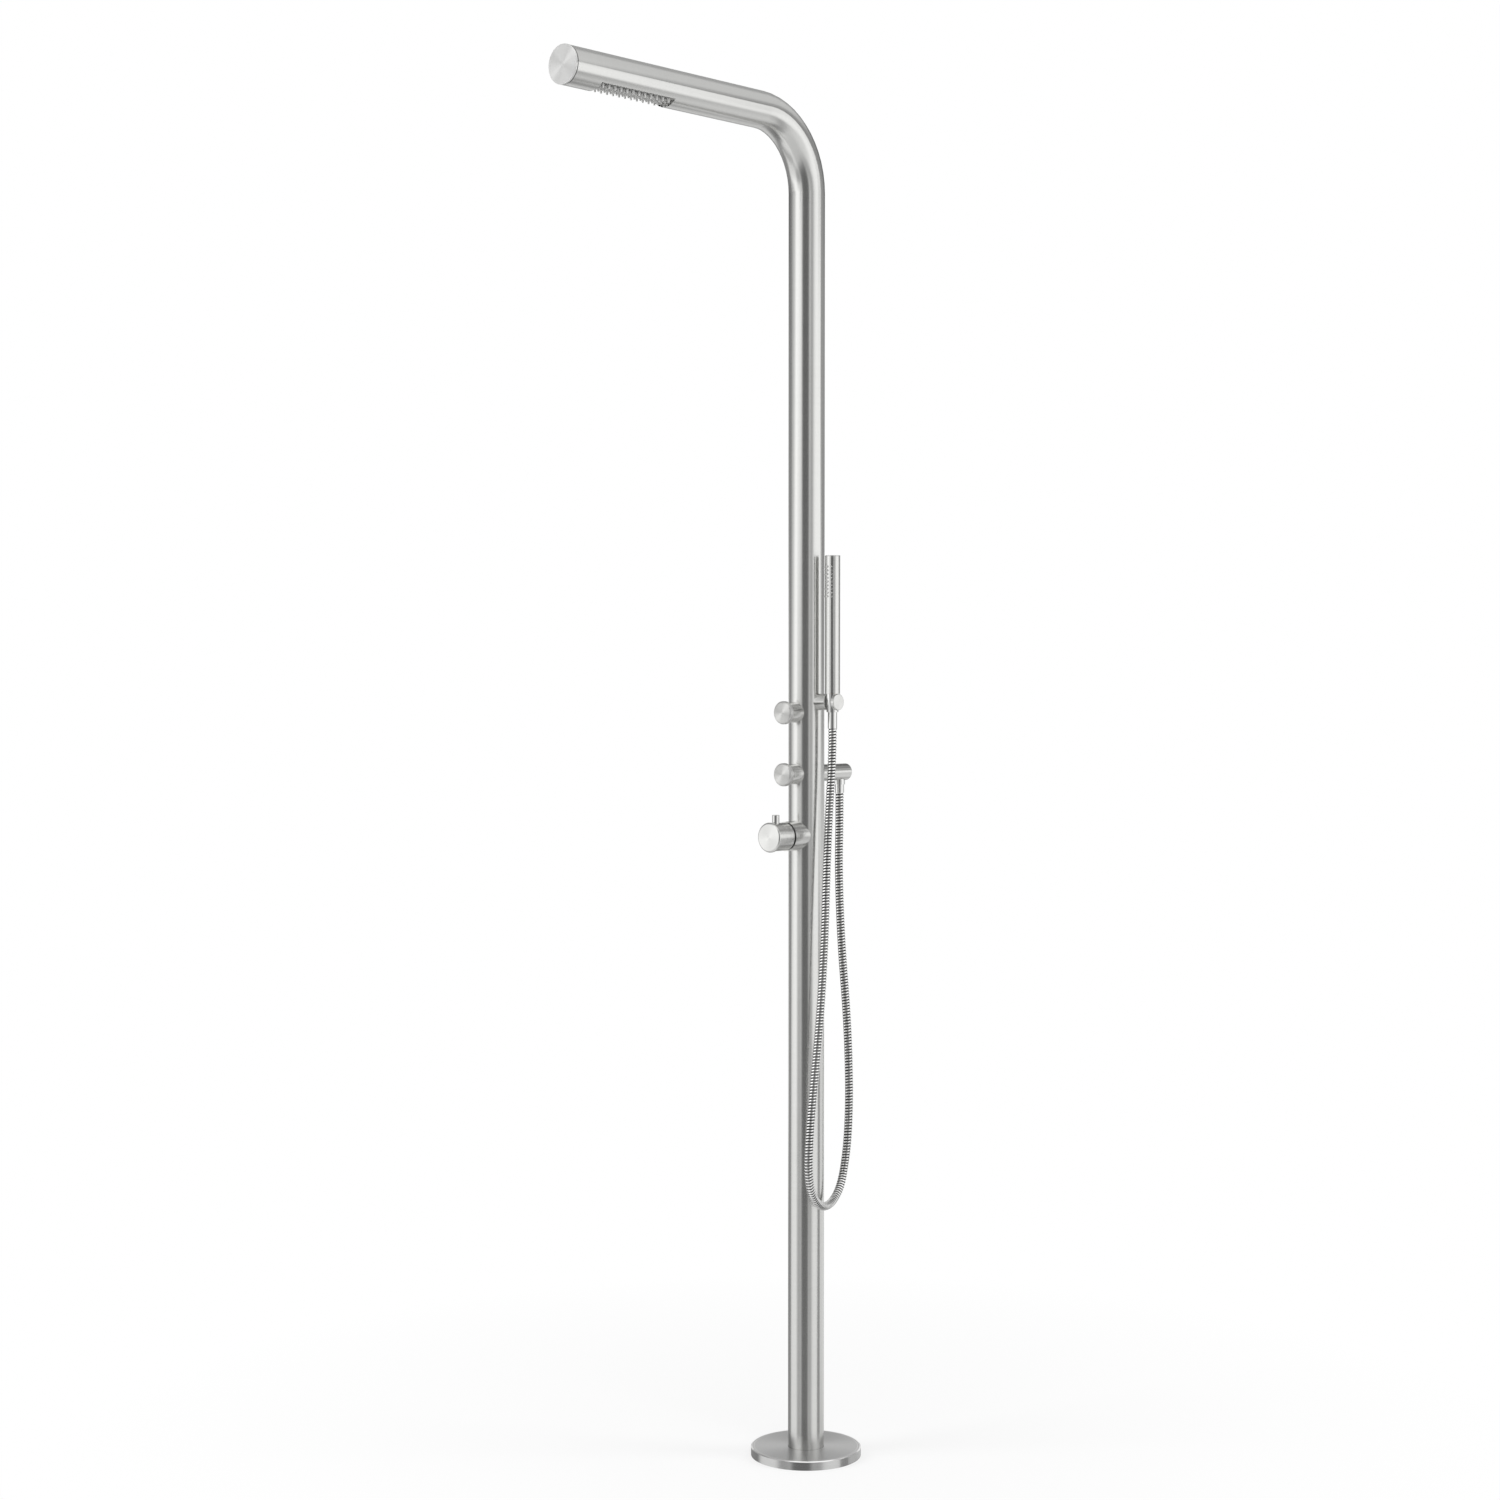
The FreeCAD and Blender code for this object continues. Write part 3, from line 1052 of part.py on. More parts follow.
def frames_along(path, distances):
    """Point and tangent of the path at each distance from its start."""
    frames = []
    edges = path.OrderedEdges
    passed = 0.0
    index = 0
    for distance in distances:
        while index < len(edges) - 1 and distance > passed + edges[index].Length:
            passed += edges[index].Length
            index += 1
        edge = edges[index]
        parameter = edge.getParameterByLength(min(distance - passed, edge.Length))
        frames.append((edge.valueAt(parameter), edge.tangentAt(parameter)))
    return frames


def section_at(point, tangent, radius):
    """A circle square to the path, whose own X axis stays close to the world's."""
    x_axis = (SIDE - tangent * SIDE.dot(tangent)).normalize()
    turn = FreeCAD.Rotation(x_axis, tangent.cross(x_axis), tangent, "ZXY")
    circle = Part.Wire(Part.Circle(CENTRE, UP, radius).toShape())
    circle.Placement = FreeCAD.Placement(point, turn)
    return circle


def hose():
    """The metal hose: raised turns along the whole length and a bore, plain at both ends."""
    path = hose_path()
    crest = HOSE_DIAMETER / 2
    valley = crest - HOSE_RIB_DEPTH
    ribbed = path.Length - 2 * HOSE_DIAMETER
    pitch = ribbed / HOSE_RIBS
    stations = [(0.0, valley)]
    for rib in range(HOSE_RIBS):
        for share, raised in HOSE_RIB:
            stations.append((HOSE_DIAMETER + (rib + share) * pitch, valley + raised * HOSE_RIB_DEPTH))
    stations.append((path.Length - HOSE_DIAMETER, valley))
    stations.append((path.Length, valley))
    frames = frames_along(path, [distance for distance, radius in stations])
    circles = [
        section_at(point, tangent, radius)
        for (point, tangent), (distance, radius) in zip(frames, stations)
    ]
    outside = Part.makeLoft(circles, True, True)
    bore_start = section_at(frames[0][0], frames[0][1], HOSE_BORE / 2)
    bore = path.makePipeShell([bore_start], True, False)
    tube = outside.cut(bore)
    print("hose length", round(path.Length, 1), "ribs", HOSE_RIBS, "pitch", round(pitch, 2))
    crest_share = (HOSE_RIB[2][0] - HOSE_RIB[1][0] + HOSE_RIB[3][0]) / 2
    mean_square = valley ** 2 + crest_share * (crest ** 2 - valley ** 2)
    expected = math.pi * (mean_square - (HOSE_BORE / 2) ** 2) * path.Length
    print("hose volume", round(tube.Volume), "section times length", round(expected))
    return tube


# ---- build -----------------------------------------------------------------------------------


def build():
    os.makedirs("parts", exist_ok=True)
    save("floor_flange", floor_flange())
    save("base_cover", base_cover())
    save("cover_ring", cover_ring())
    save("inlet_block", inlet_block())
    save("check_valves", check_valves())
    save("hot_riser", riser(-1))
    save("cold_riser", riser(1))
    save("riser_nuts", riser_nuts())
    save("pipe_spacers", pipe_spacers())
    save("mixer_body", mixer_body())
    save("mixer_bush", mixer_bush())
    save("mixer_cartridge", mixer_cartridge())
    save("cartridge_nut", cartridge_nut())
    save("mixer_stem", mixer_stem())
    save("mixer_sleeve", mixer_sleeve())
    save("mixer_slip_ring", mixer_slip_ring())
    save("mixer_handle", mixer_handle())
    save("lever_pin", lever_pin())
    save("handle_screw", handle_screw())
    save("lower_link_pipe", link_pipe(MIXER_TOP, stop_bottom(LOWER_VALVE)))
    save("upper_link_pipe", link_pipe(stop_top(LOWER_VALVE), stop_bottom(UPPER_VALVE)))
    save("link_nuts", link_nuts())
    for name, height in (("lower", LOWER_VALVE), ("upper", UPPER_VALVE)):
        save(name + "_valve_body", stop_valve_body(height, height == LOWER_VALVE))
        save(name + "_valve_cartridge", stop_cartridge(height))
        save(name + "_valve_stem", stop_stem(height))
        save(name + "_knob_collar", knob_collar(height))
        save(name + "_knob", knob(height))
        save(name + "_knob_screw", knob_screw(height))
    save("head_feed_pipe", head_feed_pipe())
    save("outlet_nipple", outlet_nipple())
    save("outlet_elbow", outlet_elbow())
    save("outlet_washer", outlet_washer())
    save("hose_connector", hose_connector())
    save("lower_hose_sleeve", lower_hose_sleeve())
    save("hose", hose())
    save("upper_hose_sleeve", upper_hose_sleeve())
    save("hose_cone_nut", hose_cone_nut())
    save("handset_washer", handset_washer())
    save("handset_shank", handset_shank())
    save("handset_tube", handset_tube())
    save("handset_cap", handset_cap())
    save("handset_nozzles", handset_nozzles())
    save("handset_inner_tube", handset_inner_tube())
    save("handset_holder", holder())
    save("holder_screw", holder_screw())
    save("post_tube", post_tube())
    save("spray_plate", spray_plate())
    save("spray_nozzles", spray_nozzles())
    save("spray_chamber", spray_chamber())
    save("arm_end_cap", arm_end_cap())
    save("cap_seal_ring", cap_seal_ring())


build()
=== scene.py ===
import math

import bpy
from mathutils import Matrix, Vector


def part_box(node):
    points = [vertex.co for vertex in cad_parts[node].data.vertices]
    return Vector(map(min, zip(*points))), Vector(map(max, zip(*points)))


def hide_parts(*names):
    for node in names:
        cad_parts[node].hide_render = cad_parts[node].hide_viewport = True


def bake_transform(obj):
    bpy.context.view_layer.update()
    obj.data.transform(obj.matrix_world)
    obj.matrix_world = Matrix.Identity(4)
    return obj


# Outdoor shower post. Metres, in the frame of the CAD model: the origin is on the post's axis at
# the floor, +Z is up and the front is -Y.

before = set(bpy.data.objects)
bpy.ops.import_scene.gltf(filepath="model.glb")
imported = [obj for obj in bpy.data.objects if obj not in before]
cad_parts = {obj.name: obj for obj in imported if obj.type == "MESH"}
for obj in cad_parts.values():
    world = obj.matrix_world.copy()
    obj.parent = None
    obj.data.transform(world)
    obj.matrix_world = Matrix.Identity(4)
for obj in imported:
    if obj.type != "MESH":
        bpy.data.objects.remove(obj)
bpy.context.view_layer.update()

AXIS = {"x": Vector((1, 0, 0)), "y": Vector((0, 1, 0)), "z": Vector((0, 0, 1))}


def middle(node):
    low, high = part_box(node)
    return (low + high) / 2


# ---- camera ----------------------------------------------------------------------------------

CAMERA_PLACE = (2.87223, -3.34724, 1.33669)
CAMERA_AZIMUTH = 41.850
CAMERA_TILT_DOWN = 2.0124
CAMERA_LENS = 63.723
SENSOR = 36.0
CLIP_START = 0.05
CLIP_END = 60.0


def make_camera():
    data = bpy.data.cameras.new("camera")
    data.lens = CAMERA_LENS
    data.sensor_width = SENSOR
    data.clip_start = CLIP_START
    data.clip_end = CLIP_END
    camera = bpy.data.objects.new("camera", data)
    camera.location = CAMERA_PLACE
    camera.rotation_euler = (
        math.radians(90 - CAMERA_TILT_DOWN), 0, math.radians(CAMERA_AZIMUTH))
    bpy.context.scene.collection.objects.link(camera)
    bpy.context.scene.camera = camera


# ---- hose ------------------------------------------------------------------------------------

# from the outlet down, round the loop and up to the hand shower
HOSE_ROUTE = [
    (0.0, 0.086, 1.1077),
    (0.0, 0.086, 1.0577),
    (-0.001, 0.085, 0.976),
    (0.004, 0.086, 0.855),
    (0.017, 0.087, 0.725),
    (0.026, 0.082, 0.612),
    (0.028, 0.0765, 0.536),
    (0.0255, 0.071, 0.482),
    (0.032, 0.0505, 0.446),
    (0.042, 0.016, 0.426),
    (0.053, -0.022, 0.427),
    (0.062, -0.0545, 0.448),
    (0.068, -0.074, 0.4835),
    (0.070, -0.0735, 0.551),
    (0.069, -0.060, 0.648),
    (0.0675, -0.043, 0.750),
    (0.063, -0.027, 0.870),
    (0.0565, -0.0145, 0.990),
    (0.0545, -0.0055, 1.090),
    (0.0565, 0.0, 1.1682),
    (0.0565, 0.0, 1.2182),
]
HOSE_DIAMETER = 0.014
HOSE_BORE = 0.008
HOSE_TURN = 0.0049            # pitch of the wound strip
HOSE_GROOVE = 0.0010          # depth of the groove between two turns
# one turn of the strip: share of the pitch, share of the groove's depth below the crest
HOSE_PROFILE = (
    (0.00, 1.00),
    (0.04, 0.40),
    (0.08, 0.08),
    (0.14, 0.01),
    (0.33, 0.00),
    (0.52, 0.01),
    (0.58, 0.08),
    (0.62, 0.40),
    (0.66, 1.00),
)
HOSE_SIDES = 28
BORE_STEPS = 200
LINE_STEPS = 24               # points of the line between two of the route
LINE_ORDER = 3
SAME_POINT = 1e-7


def nurbs_line(name, points):
    curve = bpy.data.curves.new(name, "CURVE")
    curve.dimensions = "3D"
    curve.resolution_u = LINE_STEPS
    spline = curve.splines.new("NURBS")
    spline.points.add(len(points) - 1)
    for point, place in zip(spline.points, points):
        point.co = (*place, 1.0)
    spline.order_u = LINE_ORDER
    spline.use_endpoint_u = True
    return bpy.data.objects.new(name, curve)


def line_points(line):
    """Points of a curve's own line, in order."""
    bpy.context.scene.collection.objects.link(line)
    mesh = bpy.data.meshes.new_from_object(line)
    points = [v.co.copy() for v in mesh.vertices]
    bpy.data.meshes.remove(mesh)
    bpy.data.objects.remove(line)
    return points


class Path:
    """A line with its length, and a frame that doesn't twist along it."""

    def __init__(self, points):
        self.points = [points[0]]
        for point in points[1:]:
            if (point - self.points[-1]).length > SAME_POINT:
                self.points.append(point)
        self.passed = [0.0]
        for a, b in zip(self.points, self.points[1:]):
            self.passed.append(self.passed[-1] + (b - a).length)
        self.length = self.passed[-1]
        last = len(self.points) - 1
        self.tangents = [
            (self.points[min(i + 1, last)] - self.points[max(i - 1, 0)]).normalized()
            for i in range(last + 1)
        ]
        side = self.tangents[0].orthogonal().normalized()
        self.sides = []
        for tangent in self.tangents:
            side = (side - tangent * side.dot(tangent)).normalized()
            self.sides.append(side)

    def at(self, distance):
        """Point, side and other side of the line at a distance from its start."""
        distance = min(max(distance, 0.0), self.length)
        low, high = 0, len(self.points) - 1
        while high - low > 1:
            half = (low + high) // 2
            if self.passed[half] <= distance:
                low = half
            else:
                high = half
        share = (distance - self.passed[low]) / (self.passed[high] - self.passed[low])
        point = self.points[low].lerp(self.points[high], share)
        tangent = self.tangents[low].lerp(self.tangents[high], share).normalized()
        side = self.sides[low].lerp(self.sides[high], share)
        side = (side - tangent * side.dot(tangent)).normalized()
        return point, side, tangent.cross(side)


def mesh_object(name, vertices, faces, smooth=True):
    mesh = bpy.data.meshes.new(name)
    mesh.from_pydata(vertices, [], faces)
    mesh.validate()
    mesh.update()
    if smooth:
        mesh.shade_smooth()
    made = bpy.data.objects.new(name, mesh)
    bpy.context.scene.collection.objects.link(made)
    return made


def wound_tube(name, path):
    """A tube of wound strip with a bore: the groove climbs by one pitch in each turn. Every point
    has its share of the groove's depth as the attribute "groove"."""
    turns = int(path.length / HOSE_TURN) + 1
    stations = []
    for turn in range(-1, turns):
        for share, depth in HOSE_PROFILE:
            stations.append(((turn + share) * HOSE_TURN, depth))
    rings = []
    depths = []
    for distance, depth in stations:
        radius = HOSE_DIAMETER / 2 - depth * HOSE_GROOVE
        depths += [depth] * HOSE_SIDES
        ring = []
        for side in range(HOSE_SIDES):
            turned = side / HOSE_SIDES
            point, across, up = path.at(distance + turned * HOSE_TURN)
            angle = 2 * math.pi * turned
            ring.append(point + (across * math.cos(angle) + up * math.sin(angle)) * radius)
        rings.append(ring)
    for step in range(BORE_STEPS, -1, -1):
        point, across, up = path.at(path.length * step / BORE_STEPS)
        rings.append([
            point + (across * math.cos(2 * math.pi * i / HOSE_SIDES)
                     + up * math.sin(2 * math.pi * i / HOSE_SIDES)) * HOSE_BORE / 2
            for i in range(HOSE_SIDES)
        ])
    vertices = [v for ring in rings for v in ring]
    depths += [1.0] * (len(vertices) - len(depths))
    faces = []
    for row in range(len(rings)):
        below = ((row + 1) % len(rings)) * HOSE_SIDES
        here = row * HOSE_SIDES
        for side in range(HOSE_SIDES):
            beside = (side + 1) % HOSE_SIDES
            faces.append((here + side, here + beside, below + beside, below + side))
    tube = mesh_object(name, vertices, faces)
    # the groove's depth also sets the painted shade in the grooves
    groove = tube.data.attributes.new("groove", "FLOAT", "POINT")
    for place, depth in zip(groove.data, depths):
        place.value = depth
    return tube


def make_hose():
    path = Path(line_points(nurbs_line("hose_line", HOSE_ROUTE)))
    return wound_tube("ribbed_hose", path), path


# ---- materials -------------------------------------------------------------------------------


NOISE_LOW = 0.25
NOISE_HIGH = 0.75


class Look:
    """A material with its node tree, and short ways to add nodes to it."""

    def __init__(self, name):
        self.material = bpy.data.materials.new(name)
        self.material.use_nodes = True
        self.tree = self.material.node_tree
        self.shader = self.tree.nodes["Principled BSDF"]
        self.place = self.node("ShaderNodeTexCoord").outputs["Object"]
        self.normal = self.node("ShaderNodeNewGeometry").outputs["Normal"]

    def node(self, kind, **settings):
        made = self.tree.nodes.new(kind)
        for name, value in settings.items():
            setattr(made, name, value)
        return made

    def link(self, source, target):
        self.tree.links.new(source, target)

    def put(self, target, value):
        if isinstance(value, bpy.types.NodeSocket):
            self.link(value, target)
        else:
            target.default_value = value

    def set(self, **values):
        for name, value in values.items():
            self.put(self.shader.inputs[name.replace("_", " ")], value)

    def vector(self, operation, first, second=None):
        made = self.node("ShaderNodeVectorMath", operation=operation)
        self.put(made.inputs[0], first)
        if second is not None:
            self.put(made.inputs[1], second)
        return made.outputs["Value" if operation in ("DOT_PRODUCT", "LENGTH") else "Vector"]

    def math(self, operation, first, second=0.0, third=0.0):
        made = self.node("ShaderNodeMath", operation=operation)
        for socket, value in zip(made.inputs, (first, second, third)):
            self.put(socket, value)
        return made.outputs[0]

    def combined(self, x, y, z):
        made = self.node("ShaderNodeCombineXYZ")
        for socket, value in zip(made.inputs, (x, y, z)):
            self.put(socket, value)
        return made.outputs[0]

    def separated(self, vector):
        made = self.node("ShaderNodeSeparateXYZ")
        self.put(made.inputs[0], vector)
        return made.outputs

    def noise(self, vector, scale, detail=2.0, roughness=0.5):
        made = self.node("ShaderNodeTexNoise")
        self.put(made.inputs["Vector"], vector)
        made.inputs["Scale"].default_value = scale
        made.inputs["Detail"].default_value = detail
        made.inputs["Roughness"].default_value = roughness
        return made.outputs["Fac"]

    def ramp(self, value, low, high):
        """A noise value, which mostly lies between NOISE_LOW and NOISE_HIGH, stretched to run
        from low to high."""
        made = self.node("ShaderNodeMapRange")
        self.put(made.inputs["Value"], value)
        ends = {"From Min": NOISE_LOW, "From Max": NOISE_HIGH, "To Min": low, "To Max": high}
        for name, number in ends.items():
            made.inputs[name].default_value = number
        return made.outputs["Result"]

    def mixed(self, share, first, second):
        made = self.node("ShaderNodeMix", data_type="RGBA")
        self.put(made.inputs["Factor"], share)
        for socket, colour in ((made.inputs[6], first), (made.inputs[7], second)):
            self.put(socket, colour if isinstance(colour, bpy.types.NodeSocket) else (*colour, 1))
        return made.outputs[2]

    def bump(self, height, strength, distance):
        made = self.node("ShaderNodeBump")
        self.put(made.inputs["Height"], height)
        made.inputs["Strength"].default_value = strength
        made.inputs["Distance"].default_value = distance
        self.link(made.outputs["Normal"], self.shader.inputs["Normal"])


LINES_PER_METRE = 2600.0      # brushing lines
LINE_DEPTH = 0.25             # strength of their bump
LINE_HEIGHT = 0.00004
STREAK_SCALE = 26.0           # the larger, softer streaks
STREAK_FINENESS = 6           # how much finer they are across the lines
STREAK_WEIGHT = 0.6           # shares of the streaks and of the clouds in the tone
CLOUD_WEIGHT = 0.4
CLOUD_ROUGHNESS = 0.03        # roughness that the clouds add
GRAIN_LOW = 0.85              # the roughness varies between these shares of its value
GRAIN_HIGH = 1.15
DARK_TONE = 0.90              # share of the colour in its darker streaks
# colours painted as shade and as a highlight
SHADE_TONE = 0.12             # share of the colour where a part is shaded
PAINTED_HIGHLIGHT_COLOUR = (0.97, 0.97, 0.96)
LEVEL_FROM = 0.98             # a face whose normal points up by this share counts as level


def brushed(name, colour, along, roughness, stretch=0.6, shade=None, face=None, painted_highlight=None):
    """Brushed steel. along gives the direction that the highlights stretch in, as a socket, and
    the two lengths that change across the brushing lines. shade gives the share of dark colour,
    as painted shade, and the last argument that of a brighter colour, as a painted highlight.
    face is the roughness of level faces."""
    look = Look(name)
    direction, first, second = along(look)
    streak_scale = STREAK_SCALE * STREAK_FINENESS
    lines = look.noise(
        look.combined(look.math("MULTIPLY", first, LINES_PER_METRE),
                      look.math("MULTIPLY", second, LINES_PER_METRE), 0.0), 1.0, 3.0, 0.6)
    streaks = look.noise(
        look.combined(look.math("MULTIPLY", first, streak_scale),
                      look.math("MULTIPLY", second, streak_scale), 0.0), 1.0, 4.0, 0.55)
    clouds = look.noise(look.place, STREAK_SCALE, 3.0, 0.5)
    tone = look.math(
        "MULTIPLY_ADD", streaks, STREAK_WEIGHT, look.math("MULTIPLY", clouds, CLOUD_WEIGHT))
    tint = look.mixed(tone, tuple(c * DARK_TONE for c in colour), colour)
    # painted shade: a darker colour where the shade mask is set
    if shade:
        tint = look.mixed(shade(look), tint, tuple(c * SHADE_TONE for c in colour))
    # painted highlight: a brighter colour where its mask is set
    if painted_highlight:
        tint = look.mixed(painted_highlight(look), tint, PAINTED_HIGHLIGHT_COLOUR)
    grain = look.ramp(lines, roughness * GRAIN_LOW, roughness * GRAIN_HIGH)
    if face:
        level = look.math("GREATER_THAN", look.separated(look.normal)[2], LEVEL_FROM)
        grain = look.math("MULTIPLY_ADD", level, face - roughness, grain)
    look.set(
        Base_Color=tint,
        Metallic=1.0,
        Roughness=look.math("ADD", grain, look.math("MULTIPLY", clouds, CLOUD_ROUGHNESS)),
        Anisotropic=stretch,
        Tangent=direction,
    )
    look.bump(lines, LINE_DEPTH, LINE_HEIGHT)
    return look.material


def turned(axis, centre):
    """Brushing lines round an axis, on the sides as on the faces."""
    def along(look):
        offset = look.vector("SUBTRACT", look.place, tuple(centre))
        groove = look.vector("CROSS_PRODUCT", tuple(AXIS[axis]), offset)
        out = look.vector("LENGTH", groove)
        up = look.vector("DOT_PRODUCT", tuple(AXIS[axis]), offset)
        direction = look.vector("CROSS_PRODUCT", look.normal, look.vector("NORMALIZE", groove))
        return look.vector("NORMALIZE", direction), out, up
    return along


CAP_SEAM = 0.5567             # how far out the arm's cap meets the tube
# width of the painted shadow where the arm's cap meets the tube
SEAM_WIDTH = 0.0016
# share of dark colour painted as shadow at the cap's seam
SEAM_SHADE = 0.8              # shares of dark colour
# share of dark colour painted as shade on the spray plate
PLATE_SHADE = 0.8
BEND_START = 2.100            # height where the post begins to bend
BEND_RADIUS = 0.120


def round_the_bend(look):
    """Brushing lines round the bent tube: they stay square to the tube's own line."""
    _, y, z = look.separated(look.place)
    before = look.math("MAXIMUM", look.math("ADD", y, BEND_RADIUS), 0.0)
    above = look.math("MAXIMUM", look.math("SUBTRACT", z, BEND_START), 0.0)
    direction = look.vector(
        "NORMALIZE", look.combined(0.0, look.math("MULTIPLY", above, -1.0), before))
    turn = look.math("MULTIPLY", look.math("ARCTAN2", above, before), BEND_RADIUS)
    passed = look.math("ADD", look.math("MINIMUM", z, BEND_START), turn)
    along_arm = look.math("MINIMUM", look.math("ADD", y, BEND_RADIUS), 0.0)
    return direction, look.math("SUBTRACT", passed, along_arm), 0.0


PLATE_END = 0.012             # length of each closed end of the spray plate
# the cover's bevel and a fine ring on its top get a painted highlight
COVER_RADIUS = 0.092
RIM_WIDTH = 0.0022            # the base cover's bevel
BEVEL_FROM = 0.25             # upward share of the normal that tells the bevel from the side
RING_INSET = 0.0052           # the fine ring, from the cover's edge
RING_HALF_WIDTH = 0.0005
RING_PAINTED_HIGHLIGHT = 0.6


def painted_rim_highlight(look):
    """Painted highlight: the cover's bevel and a fine ring inside it are coloured brighter than
    its top.
    """
    x, y, _ = look.separated(look.place)
    out = look.vector("LENGTH", look.combined(x, y, 0.0))
    slope = look.separated(look.normal)[2]
    bevel = look.math("MULTIPLY", look.math("GREATER_THAN", out, COVER_RADIUS - RIM_WIDTH),
                      look.math("GREATER_THAN", slope, BEVEL_FROM))
    ring = look.math("COMPARE", out, COVER_RADIUS - RING_INSET, RING_HALF_WIDTH)
    return look.math("MAXIMUM", bevel, look.math("MULTIPLY", ring, RING_PAINTED_HIGHLIGHT))


def painted_plate_shade(look):
    """Painted shade: the spray plate's colour is darkened between its closed ends, where the
    nozzles stand.
    """
    low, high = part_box("spray_plate")
    y = look.separated(look.place)[1]
    away = look.math("ABSOLUTE", look.math("SUBTRACT", y, (low.y + high.y) / 2))
    inside = look.math("LESS_THAN", away, (high.y - low.y) / 2 - PLATE_END)
    return look.math("MULTIPLY", inside, PLATE_SHADE)


def painted_seam_shadow(look):
    """Painted shadow: the narrow ring of the tube where the arm's cap meets it is darkened."""
    y = look.separated(look.place)[1]
    beyond = look.math("LESS_THAN", y, SEAM_WIDTH - CAP_SEAM)
    return look.math("MULTIPLY", beyond, SEAM_SHADE)


def polished(name, colour, roughness=0.12):
    """Plain bright steel with faint polishing clouds."""
    look = Look(name)
    clouds = look.noise(look.place, 60.0, 4.0, 0.6)
    darker = tuple(c * 0.92 for c in colour)
    look.set(
        Base_Color=look.mixed(clouds, darker, colour),
        Metallic=1.0,
        Roughness=look.ramp(clouds, roughness * 0.8, roughness * 1.3),
    )
    look.bump(look.noise(look.place, 900.0, 3.0, 0.6), 0.08, 0.00003)
    return look.material


def machined_brass(name):
    look = Look(name)
    clouds = look.noise(look.place, 45.0, 4.0, 0.6)
    marks = look.noise(look.place, 1400.0, 2.0, 0.5)
    look.set(
        Base_Color=look.mixed(clouds, (0.52, 0.36, 0.15), (0.66, 0.49, 0.23)),
        Metallic=1.0,
        Roughness=look.ramp(clouds, 0.28, 0.42),
    )
    look.bump(marks, 0.25, 0.00005)
    return look.material


def moulded(name, dark, light, roughness, grain=0.15):
    """Plastic, rubber or silicone with a fine moulded grain."""
    look = Look(name)
    clouds = look.noise(look.place, 70.0, 3.0, 0.5)
    pores = look.noise(look.place, 2200.0, 2.0, 0.5)
    look.set(
        Base_Color=look.mixed(clouds, dark, light),
        Roughness=look.ramp(pores, roughness * 0.9, roughness * 1.1),
    )
    look.bump(pores, grain, 0.00005)
    return look.material


STEEL = (0.72, 0.72, 0.705)
PALE_STEEL = (0.93, 0.93, 0.92)
SATIN = (0.64, 0.64, 0.635)
# node, material, colour, axis of the brushing lines, node that they are centred on, settings
BRUSHED = (
    ("mixer_handle", "brushed_handle", STEEL, "y", "mixer_stem",
     {"roughness": 0.24, "stretch": 0.75}),
    ("outlet_elbow", "brushed_elbow", STEEL, "y", "outlet_nipple",
     {"roughness": 0.13, "stretch": 0.4}),
    ("lower_knob", "brushed_lower_knob", STEEL, "y", "lower_valve_stem",
     {"roughness": 0.38, "stretch": 0.93}),
    ("upper_knob", "brushed_upper_knob", STEEL, "y", "upper_valve_stem",
     {"roughness": 0.38, "stretch": 0.93}),
    ("arm_end_cap", "brushed_cap", PALE_STEEL, "y", "arm_end_cap",
     {"roughness": 0.40, "stretch": 0.92}),
    ("handset_cap", "brushed_handset_cap", STEEL, "z", "handset_cap",
     {"roughness": 0.30, "stretch": 0.8}),
    ("lever_pin", "brushed_pin", STEEL, "z", "lever_pin", {"roughness": 0.15}),
    # the spray plate gets painted shade between its closed ends
    ("spray_plate", "brushed_plate", STEEL, "y", "spray_plate",
     {"roughness": 0.34, "shade": painted_plate_shade}),
    ("mixer_sleeve", "fine_mixer_sleeve", STEEL, "y", "mixer_sleeve", {"roughness": 0.20}),
    ("upper_knob_collar", "fine_upper_knob_collar", STEEL, "y", "upper_knob_collar",
     {"roughness": 0.20}),
    ("lower_knob_collar", "fine_lower_knob_collar", STEEL, "y", "lower_knob_collar",
     {"roughness": 0.20}),
    ("handset_holder", "fine_handset_holder", STEEL, "x", "handset_holder", {"roughness": 0.20}),
    ("handset_tube", "fine_handset_tube", STEEL, "z", "handset_tube", {"roughness": 0.20}),
)


def plain_looks():
    """The other materials, each with the nodes that have it."""
    return (
        (polished("polished_steel", (0.76, 0.76, 0.75)),
         ("hose_connector", "lower_hose_sleeve", "upper_hose_sleeve", "hose_cone_nut")),
        (polished("drawn_pipe", (0.58, 0.58, 0.57), 0.25),
         ("hot_riser", "cold_riser", "lower_link_pipe", "upper_link_pipe", "head_feed_pipe",
          "outlet_nipple")),
        (polished("rolled_plate", (0.50, 0.50, 0.49), 0.38), ("floor_flange",)),
        (machined_brass("machined_brass"),
         ("inlet_block", "riser_nuts", "link_nuts", "mixer_body", "mixer_bush", "cartridge_nut",
          "mixer_stem", "handset_shank", "lower_valve_body", "upper_valve_body",
          "lower_valve_cartridge", "upper_valve_cartridge", "lower_valve_stem",
          "upper_valve_stem")),
        (polished("dark_screw", (0.22, 0.22, 0.23), 0.35),
         ("handle_screw", "lower_knob_screw", "upper_knob_screw", "holder_screw")),
        (moulded("black_rubber", (0.012, 0.012, 0.012), (0.025, 0.025, 0.025), 0.55),
         ("cover_ring", "outlet_washer", "handset_washer", "cap_seal_ring")),
        (moulded("black_plastic", (0.015, 0.015, 0.015), (0.03, 0.03, 0.03), 0.4),
         ("mixer_slip_ring",)),
        (moulded("pale_plastic", (0.68, 0.68, 0.66), (0.78, 0.78, 0.76), 0.45),
         ("check_valves", "pipe_spacers", "mixer_cartridge", "spray_chamber",
          "handset_inner_tube")),
        (moulded("grey_silicone", (0.52, 0.52, 0.51), (0.62, 0.62, 0.61), 0.4),
         ("spray_nozzles", "handset_nozzles")),
    )


